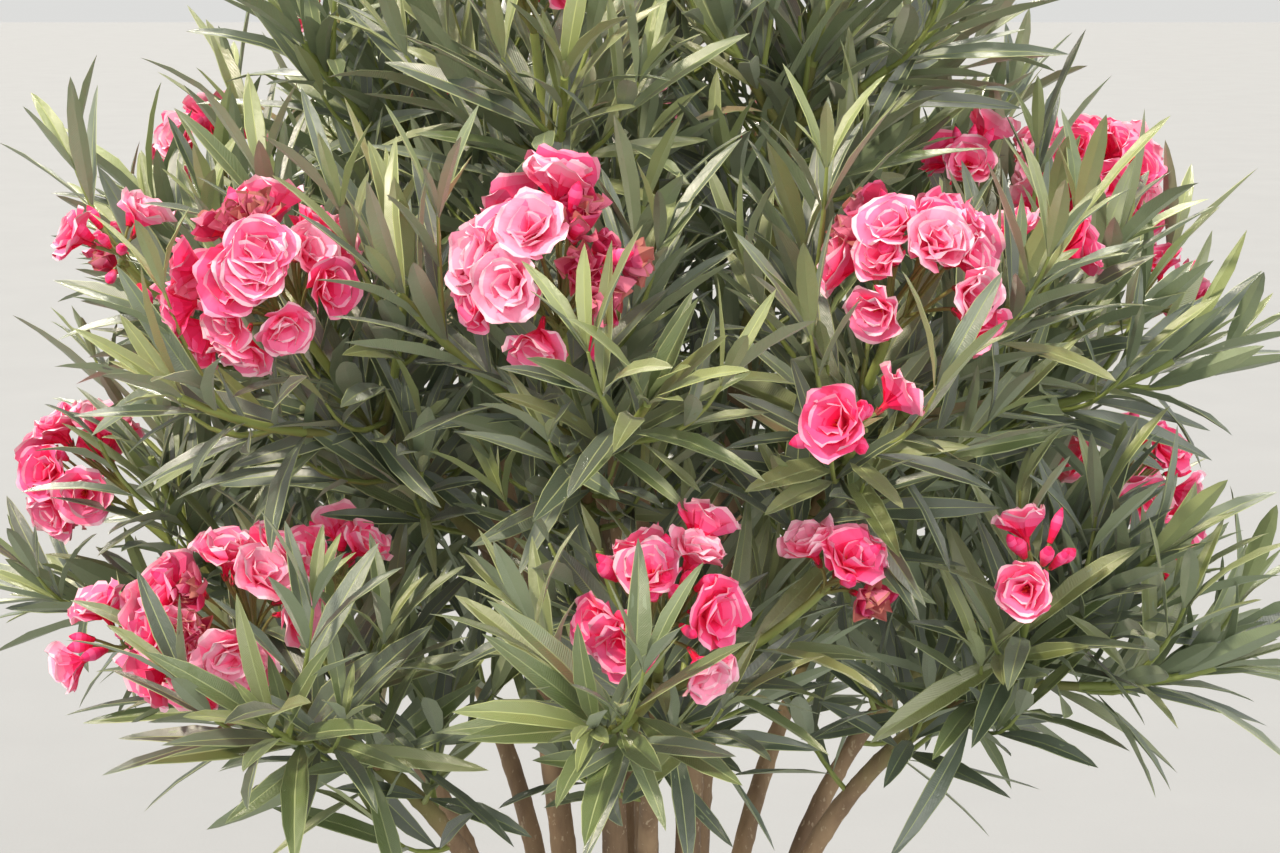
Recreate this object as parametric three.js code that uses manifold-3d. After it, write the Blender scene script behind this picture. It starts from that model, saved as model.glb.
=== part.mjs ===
// A potted oleander: a clump of woody stems that rise from the soil of a plain terracotta pot, lean
// outwards and fork, and carry masses of narrow leaves in whorls of three, with heads of double pink
// blossom at their tips. Millimetres, +Z up. The origin is the middle of the pot's flat underside.
import * as THREE from "three";
import { mergeVertices } from "three/addons/utils/BufferGeometryUtils.js";
import Module from "manifold-3d";

const wasm = await Module();
wasm.setup();

// The pot and its soil
const POT_HEIGHT = 360;
const POT_RIM_RADIUS = 205;
const POT_FOOT_RADIUS = 146;
const POT_WALL = 13;
const POT_FLOOR = 18;
const POT_SIDES = 36;
const RIM_BAND_HEIGHT = 52;
const RIM_BAND_PROUD = 9;
const RIM_ROUNDING = 4;
const SOIL_BELOW_RIM = 34;
const SOIL_LEVEL = POT_HEIGHT - SOIL_BELOW_RIM;

// How far two pieces that meet stay apart
const SEAT_GAP = 0.3;

// The crown is four tiers of foliage masses. Each tier says how many masses it has, the azimuth of the
// first, how far from the axis and how high the limbs end that carry them, and how far those lean from
// upright there.
const TIERS = [
  { name: "crest", count: 1, turn: 20, out: 28, height: 1165, lean: 5, limb: "stem" },
  { name: "upper", count: 5, turn: 30, out: 160, height: 1075, lean: 20, limb: "stem" },
  { name: "middle", count: 10, turn: 12, out: 270, height: 915, lean: 42, limb: "bough" },
  { name: "lower", count: 8, turn: 5, out: 285, height: 705, lean: 54, limb: "stem" },
];
const PLANT_SEED = 41;
const TURN_SCATTER = 4;
const OUT_SCATTER = 20;
const HEIGHT_SCATTER = 34;
const LEAN_SCATTER = 5;

// The limbs: where the stems stand in the soil, how thick a limb is at its two ends, and where boughs
// leave a stem
const FOOT_CIRCLE = { crest: 8, upper: 52, lower: 104 };
const STEM_RADIUS = { crest: [11.5, 6.4], upper: [12.5, 6.4], lower: [10.5, 6] };
const BOUGH_RADIUS = [6.4, 5.4];
const FORK_SHARES = [0.52, 0.62];
const ROOT_FLARE = 5;
const ROOT_FLARE_HEIGHT = 28;
const TIP_PULL = 0.45;
const LIMB_SIDES = 6;
const STEM_RINGS = 6;
const BOUGH_RINGS = 3;

// A mass: a leading twig that turns up towards the light, and three shoots that fork from it. The space
// it keeps to is what lies nearer to its hub than to any other mass's hub.
const SPACE_REACH = 350;
const HUB_REACH = 150;
const SPACE_MARGIN = 1.5;
const LEAD_STEM = 66;
const LEAD_LENGTH = 165;
const LEAD_TRIES = [1, 0.85, 0.7];
const LEAD_UPTURN = 0.17;
const LEAD_RADII = [4.8, 3.2];
const LEAD_WHORLS = [0.1, 0.24, 0.45, 0.62];
const FORK_SHARE = 0.3;
const FORK_STEP = 0.045;
const SHOOTS = 3;
const SHOOT_LENGTH = [150, 190];
const SHOOT_TRIES = [1, 0.75, 0.5];
const SHOOT_SPREAD = [38, 52];
const SHOOT_UPTURN = 0.34;
const SHOOT_RADII = [4.2, 3];
const SHOOT_WHORLS = [0.28, 0.44, 0.6, 0.77, 0.94];
const TWIG_SIDES = 3;
const TWIG_RINGS = 2;
const TWIG_CLEARANCE = 8;

// The leaves stand in whorls of three, close to their twig at its tip and spread wide at its foot. A leaf
// is flat on top and keeled below. They are larger than life, and each stands for several.
const WHORL = 3;
const WHORL_STEP = 60;
const WHORL_ROLL = 30;
const LEAF_LENGTH = [150, 185];
const LEAF_WIDTH = 40;
const LEAF_THICKNESS = 4;
const LEAF_WIDEST = 0.4;
const LEAF_SINK = 2;
const LEAF_ANGLES = [78, 26];
const LEAF_ARCH = 0.07;
const LEAF_TRIES = [1, 0.8, 0.62];
const LEAF_CLEARANCE = 3;
const LEAF_SEAM = 28;

// The blossom: a domed head of twelve cupped blooms at the end of the leading twig. The petals' edges
// reach its radius, and the throats lie sunk between them. One mass in four has none.
const HEAD_RADIUS = 74;
const HEAD_SCATTER = [0.9, 1.08];
const HEAD_BACK = 0.6;
const THROAT_DEPTH = 0.74;
const BARE_EVERY = 4;

// How finely a way is sampled when its clearance is tested
const LIMB_SAMPLES = 40;
const TWIG_SAMPLES = 8;
const LEAF_SAMPLES = 9;
const SAME_SPOT = 1e-3;

const up = new THREE.Vector3(0, 0, 1);
const { degToRad: radians, lerp } = THREE.MathUtils;

// A seeded rule: the same number gives the same plant every time.
function seeded(seed) {
  let state = (seed * 7919 + 12345) >>> 0;
  const draw = () => {
    state = (Math.imul(1664525, state) + 1013904223) >>> 0;
    return state / 4294967296;
  };
  draw();
  draw();
  return (low, high) => low + (high - low) * draw();
}

// A unit vector at an azimuth, leaning from upright, both in degrees
function heading(azimuth, lean) {
  const out = Math.sin(radians(lean));
  return new THREE.Vector3(
    out * Math.cos(radians(azimuth)),
    out * Math.sin(radians(azimuth)),
    Math.cos(radians(lean)),
  );
}

// Two unit vectors square to a direction
function squareTo(direction) {
  const seed = Math.abs(direction.z) < 0.9 ? up : new THREE.Vector3(1, 0, 0);
  const side = new THREE.Vector3().crossVectors(seed, direction).normalize();
  return [side, new THREE.Vector3().crossVectors(side, direction)];
}

// A direction that leaves an axis at a tilt, at an angle round it, both in degrees
function splayed(axis, tilt, round) {
  const [side, other] = squareTo(axis);
  const out = Math.sin(radians(tilt));
  return axis
    .clone()
    .multiplyScalar(Math.cos(radians(tilt)))
    .addScaledVector(side, out * Math.cos(radians(round)))
    .addScaledVector(other, out * Math.sin(radians(round)));
}

function beyond(spot, direction, distance) {
  return spot.clone().addScaledVector(direction, distance);
}

// A geometry whose faces share their corners
function welded(geometry) {
  const bare = geometry.clone();
  bare.deleteAttribute("normal");
  bare.deleteAttribute("uv");
  return mergeVertices(bare, SAME_SPOT);
}

// A closed geometry as a solid, and a solid as a geometry
function solidOf(geometry) {
  const merged = welded(geometry);
  return new wasm.Manifold(
    new wasm.Mesh({
      numProp: 3,
      vertProperties: merged.getAttribute("position").array,
      triVerts: new Uint32Array(merged.index.array),
    }),
  );
}

function geometryOf(solid) {
  const { numProp, numVert, vertProperties, triVerts } = solid.getMesh();
  const places = new Float32Array(numVert * 3);
  for (let i = 0; i < numVert; i++) {
    places.set(vertProperties.subarray(i * numProp, i * numProp + 3), i * 3);
  }
  const geometry = new THREE.BufferGeometry();
  geometry.setAttribute("position", new THREE.BufferAttribute(places, 3));
  geometry.setIndex(new THREE.BufferAttribute(new Uint32Array(triVerts), 1));
  geometry.computeVertexNormals();
  return geometry;
}

// The largest body of a solid: what isn't joined to it is a loose scrap or a sealed hollow.
function largestBody(solid) {
  return solid
    .decompose()
    .reduce((largest, body) => (body.volume() > largest.volume() ? body : largest));
}

// The radius of a limb or twig, at a share of its way
function radiusAt({ curve, radii, flare = 0 }, along) {
  const height = along * curve.v0.distanceTo(curve.v2);
  return lerp(...radii, along) + flare * Math.exp(-height / ROOT_FLARE_HEIGHT);
}

// Two directions square to a limb or twig, which don't twist from its foot to its tip
function sidesAt({ curve, roll = 0 }, along) {
  const [first, second] = squareTo(curve.getTangent(0.5));
  const across = first
    .multiplyScalar(Math.cos(radians(roll)))
    .addScaledVector(second, Math.sin(radians(roll)));
  const tangent = curve.getTangent(along);
  const side = beyond(across, tangent, -across.dot(tangent)).normalize();
  return [side, new THREE.Vector3().crossVectors(side, tangent)];
}

// A limb: a cylinder bent along its curve, with its foot cut level where it stands on the soil
function limbGeometry(limb, grow = 0) {
  const geometry = new THREE.CylinderGeometry(1, 1, 1, limb.sides, limb.rings);
  const places = geometry.getAttribute("position");
  for (let i = 0; i < places.count; i++) {
    const along = places.getY(i) + 0.5;
    const [side, other] = sidesAt(limb, along);
    const radius = radiusAt(limb, along) + grow;
    const spot = limb.curve
      .getPoint(along)
      .addScaledVector(side, places.getX(i) * radius)
      .addScaledVector(other, places.getZ(i) * radius);
    if (limb.flare && along === 0) spot.z = limb.curve.v0.z;
    places.setXYZ(i, spot.x, spot.y, spot.z);
  }
  return geometry;
}

// A curve that ends at a tip, heading the way that the foliage grows on from there
function limbCurve(start, tip, direction) {
  const control = beyond(tip, direction, -TIP_PULL * start.distanceTo(tip));
  return new THREE.QuadraticBezierCurve3(start, control, tip);
}

// The limbs, from the soil to the masses: a stem for each mass of the crest, upper and lower tiers, and
// two boughs from each upper stem for the middle tier
function growLimbs() {
  const limbs = [];
  const scatter = seeded(PLANT_SEED);
  for (const tier of TIERS) {
    for (let i = 0; i < tier.count; i++) {
      const azimuth = tier.turn + (360 / tier.count) * i + scatter(-TURN_SCATTER, TURN_SCATTER);
      const out = tier.out + scatter(-OUT_SCATTER, OUT_SCATTER);
      const tip = heading(azimuth, 90).multiplyScalar(out);
      tip.z = tier.height + scatter(-HEIGHT_SCATTER, HEIGHT_SCATTER);
      const direction = heading(azimuth, tier.lean + scatter(-LEAN_SCATTER, LEAN_SCATTER));
      const end = { place: `${tier.name}_${i + 1}`, azimuth, tip, direction };
      limbs.push(tier.limb === "bough" ? boughTo(end, i, limbs) : stemTo(end, tier.name));
    }
  }
  return limbs;
}

function stemTo({ place, azimuth, tip, direction }, tier) {
  const foot = heading(azimuth, 90).multiplyScalar(FOOT_CIRCLE[tier]);
  foot.z = SOIL_LEVEL + SEAT_GAP;
  return {
    name: `stem_${place}`,
    place,
    direction,
    curve: limbCurve(foot, tip, direction),
    radii: STEM_RADIUS[tier],
    flare: ROOT_FLARE,
    sides: LIMB_SIDES,
    rings: STEM_RINGS,
  };
}

function boughTo({ place, tip, direction }, order, limbs) {
  const stem = limbs.find((limb) => limb.place === `upper_${Math.floor(order / 2) + 1}`);
  return {
    name: `bough_${place}`,
    place,
    direction,
    stem,
    curve: limbCurve(stem.curve.getPoint(FORK_SHARES[order % 2]), tip, direction),
    radii: BOUGH_RADIUS,
    sides: LIMB_SIDES,
    rings: BOUGH_RINGS,
  };
}

// A bough grows out of its stem's side, and is cut clear of it
function limbSolid(limb) {
  const solid = solidOf(limbGeometry(limb));
  return limb.stem ? solid.subtract(solidOf(limbGeometry(limb.stem, SEAT_GAP))) : solid;
}

// A limb, twig or leaf as a row of balls, by which its distance from others is tested
function ballsAlong(limb, count) {
  return Array.from({ length: count + 1 }, (_, i) => ({
    centre: limb.curve.getPoint(i / count),
    radius: radiusAt(limb, i / count),
  }));
}

function clearOf(balls, others, gap) {
  return balls.every((ball) =>
    others.every((other) => ball.centre.distanceTo(other.centre) > ball.radius + other.radius + gap),
  );
}

// A mass's own space: nearer to its hub than to any other's, and within reach of its root
function spaceOf(mass, masses) {
  const others = masses.filter((other) => other !== mass);
  return (spot) =>
    spot.distanceTo(mass.root) < SPACE_REACH &&
    others.every(({ hub }) => spot.distanceTo(mass.hub) + SPACE_MARGIN < spot.distanceTo(hub));
}

// The first of some sizes at which a thing has room
function firstThatFits(sizes, make) {
  for (const size of sizes) {
    const made = make(size);
    if (made) return made;
  }
  return null;
}

// A three-sided spindle: a point at each end, and between them some rings of three corners. The sphere
// that it is bent from has each ring's first corner twice.
function spindle(rings, cornerAt) {
  const geometry = new THREE.SphereGeometry(1, TWIG_SIDES, rings + 1);
  const places = geometry.getAttribute("position");
  for (let i = 0; i < places.count; i++) {
    const ring = Math.floor(i / (TWIG_SIDES + 1));
    const corner = (i % (TWIG_SIDES + 1)) % TWIG_SIDES;
    const spot = cornerAt(ring, corner);
    places.setXYZ(i, spot.x, spot.y, spot.z);
  }
  return welded(geometry);
}

// A shoot, drawn to a point at both ends
function shootGeometry(shoot) {
  return spindle(TWIG_RINGS, (ring, corner) => {
    const along = ring / (TWIG_RINGS + 1);
    const spot = shoot.curve.getPoint(along);
    if (ring === 0 || ring === TWIG_RINGS + 1) return spot;
    const [side, other] = sidesAt(shoot, along);
    const turn = radians((360 / TWIG_SIDES) * corner);
    return spot
      .addScaledVector(side, Math.cos(turn) * radiusAt(shoot, along))
      .addScaledVector(other, Math.sin(turn) * radiusAt(shoot, along));
  });
}

// A leaf: a narrow blade, widest before its middle, that arches back towards its tip
function leafAt(root, direction, length, axis, room) {
  const across = new THREE.Vector3().crossVectors(direction, axis).normalize();
  const face = new THREE.Vector3().crossVectors(across, direction);
  const middle = beyond(root, direction, LEAF_WIDEST * length);
  const tip = beyond(beyond(root, direction, length), face, -LEAF_ARCH * length);
  const widest = [
    beyond(middle, across, LEAF_WIDTH / 2),
    beyond(middle, across, -LEAF_WIDTH / 2),
    beyond(middle, face, -LEAF_THICKNESS),
  ];
  const rib = [];
  for (let i = 0; i <= LEAF_SAMPLES; i++) {
    const share = i / LEAF_SAMPLES;
    rib.push({ centre: root.clone().lerp(middle, share), radius: (share * LEAF_WIDTH) / 2 });
    rib.push({ centre: tip.clone().lerp(middle, share), radius: (share * LEAF_WIDTH) / 2 });
  }
  const fits =
    [...widest, tip].every(room.holds) &&
    clearOf(rib, room.limbs, LEAF_CLEARANCE) &&
    clearOf(rib, room.heads, 0);
  const ends = [beyond(root, direction, -LEAF_SINK), tip];
  return fits ? spindle(1, (ring, corner) => (ring === 1 ? widest[corner] : ends[ring / 2])) : null;
}

// A solid with one more leaf fused on. A leaf that cuts through others leaves a long ragged seam, so it
// isn't taken.
function withLeaf(solid, leaf) {
  const joined = solid.add(solidOf(leaf));
  return joined.numTri() - solid.numTri() > LEAF_SEAM ? null : joined;
}

// A solid with the whorls of a twig fused on, each turned half a step on the one below
function withLeaves(solid, twig, shares, draw, room) {
  for (const [w, along] of shares.entries()) {
    const spot = twig.curve.getPoint(along);
    const axis = twig.curve.getTangent(along);
    const [side, other] = sidesAt(twig, along);
    const tilt = radians(lerp(...LEAF_ANGLES, along));
    for (let k = 0; k < WHORL; k++) {
      const round = radians(WHORL_ROLL + WHORL_STEP * w + (360 / WHORL) * k);
      const direction = axis
        .clone()
        .multiplyScalar(Math.cos(tilt))
        .addScaledVector(side, Math.sin(tilt) * Math.cos(round))
        .addScaledVector(other, Math.sin(tilt) * Math.sin(round));
      const length = draw(...LEAF_LENGTH);
      const leafy = firstThatFits(LEAF_TRIES, (size) => {
        const leaf = leafAt(spot, direction, length * size, axis, room);
        return leaf && withLeaf(solid, leaf);
      });
      solid = leafy ?? solid;
    }
  }
  return solid;
}

// The corners of a geometry, as vectors
function cornersOf(geometry) {
  const places = geometry.getAttribute("position");
  return Array.from({ length: places.count }, (_, i) => new THREE.Vector3().fromBufferAttribute(places, i));
}

// A head of blossom: a ball of facets, flattened at its back. The corners of the twenty-faced solid that
// it starts from are the throats, and the corners between them are petals' edges.
function headGeometry(centre, facing, draw) {
  const throats = cornersOf(welded(new THREE.IcosahedronGeometry(1, 0)));
  const geometry = welded(new THREE.IcosahedronGeometry(1, 1));
  const places = geometry.getAttribute("position");
  for (const [i, spot] of cornersOf(geometry).entries()) {
    const edge = draw(...HEAD_SCATTER);
    const sunk = throats.some((throat) => throat.distanceTo(spot) < SAME_SPOT);
    const behind = Math.min(0, spot.dot(facing));
    spot.addScaledVector(facing, -behind * (1 - HEAD_BACK));
    spot.multiplyScalar(HEAD_RADIUS * (sunk ? THROAT_DEPTH : edge)).add(centre);
    places.setXYZ(i, spot.x, spot.y, spot.z);
  }
  return geometry;
}

// The twig that leads a mass, if it has room, and at its end the head of blossom
function leadFrom({ root, direction, flowers }, size, room) {
  const fork = beyond(root, direction, LEAD_STEM);
  const rising = direction.clone().lerp(up, LEAD_UPTURN).normalize();
  const end = beyond(fork, rising, LEAD_LENGTH * size);
  const curve = new THREE.QuadraticBezierCurve3(root, fork, end);
  const head = { centre: end, radius: flowers ? HEAD_RADIUS * HEAD_SCATTER[1] : 0 };
  const bounds = squareTo(direction).flatMap((side) => [
    beyond(end, side, head.radius),
    beyond(end, side, -head.radius),
  ]);
  const fits = bounds.every(room.holds) && clearOf([head], room.limbs, TWIG_CLEARANCE);
  return fits ? { curve, rising, head, radii: LEAD_RADII, sides: TWIG_SIDES, rings: TWIG_RINGS } : null;
}

// A shoot forks from the leading twig at a slant, and turns up towards the light.
function shootFrom(start, away, length, roll, room) {
  const bend = beyond(start, away, length / 2);
  const risen = away.clone().lerp(up, SHOOT_UPTURN).normalize();
  const curve = new THREE.QuadraticBezierCurve3(start, bend, beyond(bend, risen, length / 2));
  const shoot = { curve, roll, radii: SHOOT_RADII };
  const balls = ballsAlong(shoot, TWIG_SAMPLES);
  const inside = balls.every(({ centre }) => room.holds(centre));
  return inside && clearOf(balls, room.limbs, TWIG_CLEARANCE) ? shoot : null;
}

// A mass of foliage, as one solid
function massSolid(mass, masses, limbBalls) {
  const draw = seeded(mass.seed);
  const room = { holds: spaceOf(mass, masses), limbs: limbBalls, heads: [] };
  const lead = firstThatFits(LEAD_TRIES, (size) => leadFrom(mass, size, room));
  const turn = draw(0, 360);
  const shoots = [];
  for (let s = 0; s < SHOOTS; s++) {
    const away = splayed(mass.direction, draw(...SHOOT_SPREAD), turn + (360 / SHOOTS) * s);
    const length = draw(...SHOOT_LENGTH);
    const roll = draw(0, 360);
    const start = lead.curve.getPoint(FORK_SHARE + FORK_STEP * s);
    shoots.push(firstThatFits(SHOOT_TRIES, (size) => shootFrom(start, away, length * size, roll, room)));
  }
  let solid = solidOf(limbGeometry(lead));
  if (mass.flowers) {
    solid = solid.add(solidOf(headGeometry(lead.curve.v2, lead.rising, draw)));
    room.heads.push(lead.head);
  }
  const grown = shoots.filter(Boolean);
  for (const shoot of grown) solid = solid.add(solidOf(shootGeometry(shoot)));
  for (const shoot of grown) solid = withLeaves(solid, shoot, SHOOT_WHORLS, draw, room);
  return largestBody(withLeaves(solid, lead, LEAD_WHORLS, draw, room));
}

// A shape turned on the pot's axis, from its outline of radius and height
function turned(outline) {
  const points = outline.map(([radius, z]) => new THREE.Vector2(radius, z));
  return new THREE.LatheGeometry(points, POT_SIDES).rotateX(Math.PI / 2);
}

// The radius of the pot's outer wall, and of its inner wall, at a height
const outerWall = (z) => lerp(POT_FOOT_RADIUS, POT_RIM_RADIUS - RIM_BAND_PROUD, z / POT_HEIGHT);
const innerWall = (z) => outerWall(z) - POT_WALL;

// The pot: a plain tapering shell with a thicker band at its rim
function potGeometry() {
  const band = POT_HEIGHT - RIM_BAND_HEIGHT;
  return turned([
    [0, 0],
    [POT_FOOT_RADIUS, 0],
    [outerWall(band), band],
    [POT_RIM_RADIUS, band + RIM_ROUNDING],
    [POT_RIM_RADIUS, POT_HEIGHT - RIM_ROUNDING],
    [POT_RIM_RADIUS - RIM_ROUNDING, POT_HEIGHT],
    [innerWall(POT_HEIGHT), POT_HEIGHT],
    [innerWall(POT_FLOOR), POT_FLOOR],
    [0, POT_FLOOR],
  ]);
}

// The soil fills the pot, level, to a little below its rim.
function soilGeometry() {
  const base = POT_FLOOR + SEAT_GAP;
  return turned([
    [0, base],
    [innerWall(base) - SEAT_GAP, base],
    [innerWall(SOIL_LEVEL) - SEAT_GAP, SOIL_LEVEL],
    [0, SOIL_LEVEL],
  ]);
}

function finish(color, roughness) {
  return new THREE.MeshStandardMaterial({ color, roughness, metalness: 0 });
}

const plant = new THREE.Group();
plant.name = "potted_oleander";

function addPiece(name, solid, material) {
  const mesh = new THREE.Mesh(geometryOf(solid), material);
  mesh.name = name;
  plant.add(mesh);
}

addPiece("pot", solidOf(potGeometry()), finish("#b0674a", 0.85));
addPiece("soil", solidOf(soilGeometry()), finish("#3b2c22", 0.95));

const limbs = growLimbs();
for (const limb of limbs) {
  addPiece(limb.name, limbSolid(limb), finish("#8c6b4f", 0.8));
}

const limbBalls = limbs.flatMap((limb) => ballsAlong(limb, LIMB_SAMPLES));
const masses = limbs.map(({ place, curve, direction }, i) => ({
  name: `foliage_${place}`,
  root: beyond(curve.v2, direction, SEAT_GAP),
  direction,
  hub: beyond(curve.v2, direction, HUB_REACH),
  seed: PLANT_SEED + i + 1,
  flowers: i % BARE_EVERY !== BARE_EVERY - 1,
}));
for (const mass of masses) {
  addPiece(mass.name, massSolid(mass, masses, limbBalls), finish("#53693f", 0.5));
}

export default plant;
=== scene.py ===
import bmesh
import bpy
import numpy as np
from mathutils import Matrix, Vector, noise


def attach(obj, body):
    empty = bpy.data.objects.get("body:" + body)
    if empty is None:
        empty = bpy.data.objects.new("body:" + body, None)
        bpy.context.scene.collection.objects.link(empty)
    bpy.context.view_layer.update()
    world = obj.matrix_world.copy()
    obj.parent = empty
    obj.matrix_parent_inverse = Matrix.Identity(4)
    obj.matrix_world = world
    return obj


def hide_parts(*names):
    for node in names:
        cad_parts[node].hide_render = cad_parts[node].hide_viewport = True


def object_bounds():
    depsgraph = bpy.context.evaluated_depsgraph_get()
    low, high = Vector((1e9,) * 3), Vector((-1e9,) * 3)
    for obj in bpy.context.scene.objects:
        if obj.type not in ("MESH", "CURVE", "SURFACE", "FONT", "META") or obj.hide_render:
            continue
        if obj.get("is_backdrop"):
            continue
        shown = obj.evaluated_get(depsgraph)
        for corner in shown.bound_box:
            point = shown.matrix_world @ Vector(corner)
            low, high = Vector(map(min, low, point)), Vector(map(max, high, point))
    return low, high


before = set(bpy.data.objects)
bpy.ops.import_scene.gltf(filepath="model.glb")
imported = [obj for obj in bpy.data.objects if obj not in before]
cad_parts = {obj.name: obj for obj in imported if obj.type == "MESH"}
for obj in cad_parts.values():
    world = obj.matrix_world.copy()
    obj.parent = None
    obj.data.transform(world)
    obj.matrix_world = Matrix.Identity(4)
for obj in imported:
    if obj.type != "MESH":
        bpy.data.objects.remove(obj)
cad_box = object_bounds()

# The studio
# A plain pale floor, with pale light all round. A warm sun comes from the upper left, a second one from
# behind gives the leaves and petals their sheen, and a wide soft one fills the shadows in front.


def colour(code):
    """A colour as Blender's shaders take it, from its six hexadecimal digits, by the sRGB rule."""
    parts = np.array([int(code[i : i + 2], 16) for i in (0, 2, 4)]) / 255
    linear = np.where(parts < 0.04045, parts / 12.92, ((parts + 0.055) / 1.055) ** 2.4)
    return (*linear.tolist(), 1.0)


class Term:
    """A socket of a look's nodes that can stand in a sum: each sum adds its Math node."""

    def __init__(self, look, socket):
        self.look = look
        self.socket = socket

    def worked(self, operation, first, second):
        return self.look.node("ShaderNodeMath", {"operation": operation}, {0: first, 1: second})

    def __add__(self, other):
        return self.worked("ADD", self, other)

    def __sub__(self, other):
        return self.worked("SUBTRACT", self, other)

    def __rsub__(self, other):
        return self.worked("SUBTRACT", other, self)

    def __mul__(self, other):
        return self.worked("MULTIPLY", self, other)

    __radd__ = __add__
    __rmul__ = __mul__


class Look:
    """A material, with one method that adds any node to it."""

    def __init__(self, name, base=None, roughness=0.5, specular=0.5, other_sockets=None):
        self.material = bpy.data.materials.new(name)
        self.material.use_nodes = True
        self.tree = self.material.node_tree
        self.shader = self.tree.nodes["Principled BSDF"].inputs
        self.shader["Roughness"].default_value = roughness
        self.shader["Specular IOR Level"].default_value = specular
        for socket, value in (other_sockets or {}).items():
            self.shader[socket].default_value = value
        if base:
            self.shader["Base Color"].default_value = colour(base)

    def node(self, kind, settings=None, sockets=None, output=0):
        made = self.tree.nodes.new(kind)
        for name, setting in (settings or {}).items():
            setattr(made, name, setting)
        for name, value in (sockets or {}).items():
            self.plug(made.inputs[name], value)
        return Term(self, made.outputs[output])

    def plug(self, socket, value):
        if isinstance(value, Term):
            self.tree.links.new(value.socket, socket)
        else:
            socket.default_value = value

    def places(self, stretch=(1, 1, 1)):
        """Where a point lies on the object, stretched along each axis."""
        coordinates = self.node("ShaderNodeTexCoord", output="Object")
        return self.node("ShaderNodeMapping", sockets={"Vector": coordinates, "Scale": stretch})

    def cloud(self, scale, detail=4, stretch=(1, 1, 1), rough=0.55):
        """A cloudy pattern from 0 to 1."""
        sockets = {"Vector": self.places(stretch), "Scale": scale, "Detail": detail, "Roughness": rough}
        return self.node("ShaderNodeTexNoise", sockets=sockets)

    def between(self, value, low, high, start=0.0, end=1.0):
        """A value drawn out from low and high to start and end, and kept between them."""
        ends = {0: value, 1: low, 2: high, 3: start, 4: end}
        return self.node("ShaderNodeMapRange", {"interpolation_type": "SMOOTHSTEP"}, ends)

    def mixed(self, share, first, second):
        """Two colours mixed, each a code or a link."""
        ends = {0: share, 6: first, 7: second}
        ends = {socket: colour(end) if isinstance(end, str) else end for socket, end in ends.items()}
        return self.node("ShaderNodeMix", {"data_type": "RGBA"}, ends, output=2)

    def raise_by(self, height, depth, strength=1.0):
        """Bump, from a height between 0 and 1 and its depth in metres."""
        sockets = {"Height": height, "Distance": depth, "Strength": strength}
        self.plug(self.shader["Normal"], self.node("ShaderNodeBump", sockets=sockets))


def placed(name, mesh, looks):
    """An object at the origin that shows a mesh, with its looks in their order."""
    piece = bpy.data.objects.new(name, mesh)
    bpy.context.scene.collection.objects.link(piece)
    for look in looks:
        mesh.materials.append(look.material)
    return piece


FLOOR_SIZE = 80.0
shape = bmesh.new()
bmesh.ops.create_grid(shape, x_segments=1, y_segments=1, size=FLOOR_SIZE / 2)
floor_mesh = bpy.data.meshes.new("studio_floor")
shape.to_mesh(floor_mesh)
shape.free()
floor_look = Look("pale_floor", roughness=0.9)
grain = floor_look.cloud(3.0, 6)
floor_look.plug(floor_look.shader["Base Color"], floor_look.mixed(grain, "898c90", "919498"))
floor_look.raise_by(floor_look.cloud(180.0), 0.0004)
floor = placed("studio_floor", floor_mesh, [floor_look])
floor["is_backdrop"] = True

world = bpy.data.worlds.new("studio_air")
world.use_nodes = True
world.node_tree.nodes["Background"].inputs["Color"].default_value = colour("e8e8e6")
world.node_tree.nodes["Background"].inputs["Strength"].default_value = 0.9
bpy.context.scene.world = world
bpy.context.scene.view_settings.view_transform = "Standard"

LIGHTS = {
    "key_light": {"place": (-2.2, -1.8, 3.0), "spread": 4.5, "strength": 3.2, "tint": "fff0da"},
    "back_light": {"place": (-0.5, 2.4, 3.0), "spread": 6.0, "strength": 3.8, "tint": "fff7ea"},
    "fill_light": {"place": (1.7, -2.6, 1.1), "spread": 50.0, "strength": 1.1, "tint": "fffaf2"},
}
for name, lamp in LIGHTS.items():
    light = bpy.data.lights.new(name, "SUN")
    light.angle = np.radians(lamp["spread"])
    light.energy = lamp["strength"]
    light.color = colour(lamp["tint"])[:3]
    stand = bpy.data.objects.new(name, light)
    stand.location = lamp["place"]
    stand.rotation_euler = (-stand.location).to_track_quat("-Z", "Y").to_euler()
    bpy.context.scene.collection.objects.link(stand)

CAMERA_AIM = Vector((0.0, -0.40, 0.98))
CAMERA_DISTANCE = 1.70
CAMERA_ELEVATION = np.radians(11.0)
CAMERA_LENS = 70.0
back = Vector((0.0, -np.cos(CAMERA_ELEVATION), np.sin(CAMERA_ELEVATION)))
camera = bpy.data.objects.new("camera", bpy.data.cameras.new("camera"))
camera.data.lens = CAMERA_LENS
camera.location = CAMERA_AIM + back * CAMERA_DISTANCE
camera.rotation_euler = (-back).to_track_quat("-Z", "Y").to_euler()
bpy.context.scene.collection.objects.link(camera)
bpy.context.scene.camera = camera

# The pot
# A plain flowerpot of unglazed terracotta, turned on a wheel: a tapering wall, and a thicker band at the
# rim with one scored line. Lime and damp have marked it.
POT_HEIGHT = 0.360
RIM_RADIUS = 0.205
FOOT_RADIUS = 0.146
WALL = 0.013
POT_FLOOR = 0.018
BAND_HEIGHT = 0.052
BAND_PROUD = 0.009
BAND_SLOPE = 0.0012
SCORE_BELOW_RIM = 0.016
SCORE_DEPTH = 0.0009
SCORE_HALF = 0.0014
POT_STEPS = 120
WALL_RINGS = 40
WHEEL_RIPPLE = 0.00035
WHEEL_RIPPLES = 150.0
POT_EDGE = 0.0035
CORNER_ANGLE = np.radians(40.0)


def outer_wall(height):
    return FOOT_RADIUS + (RIM_RADIUS - BAND_PROUD - FOOT_RADIUS) * height / POT_HEIGHT


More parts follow.
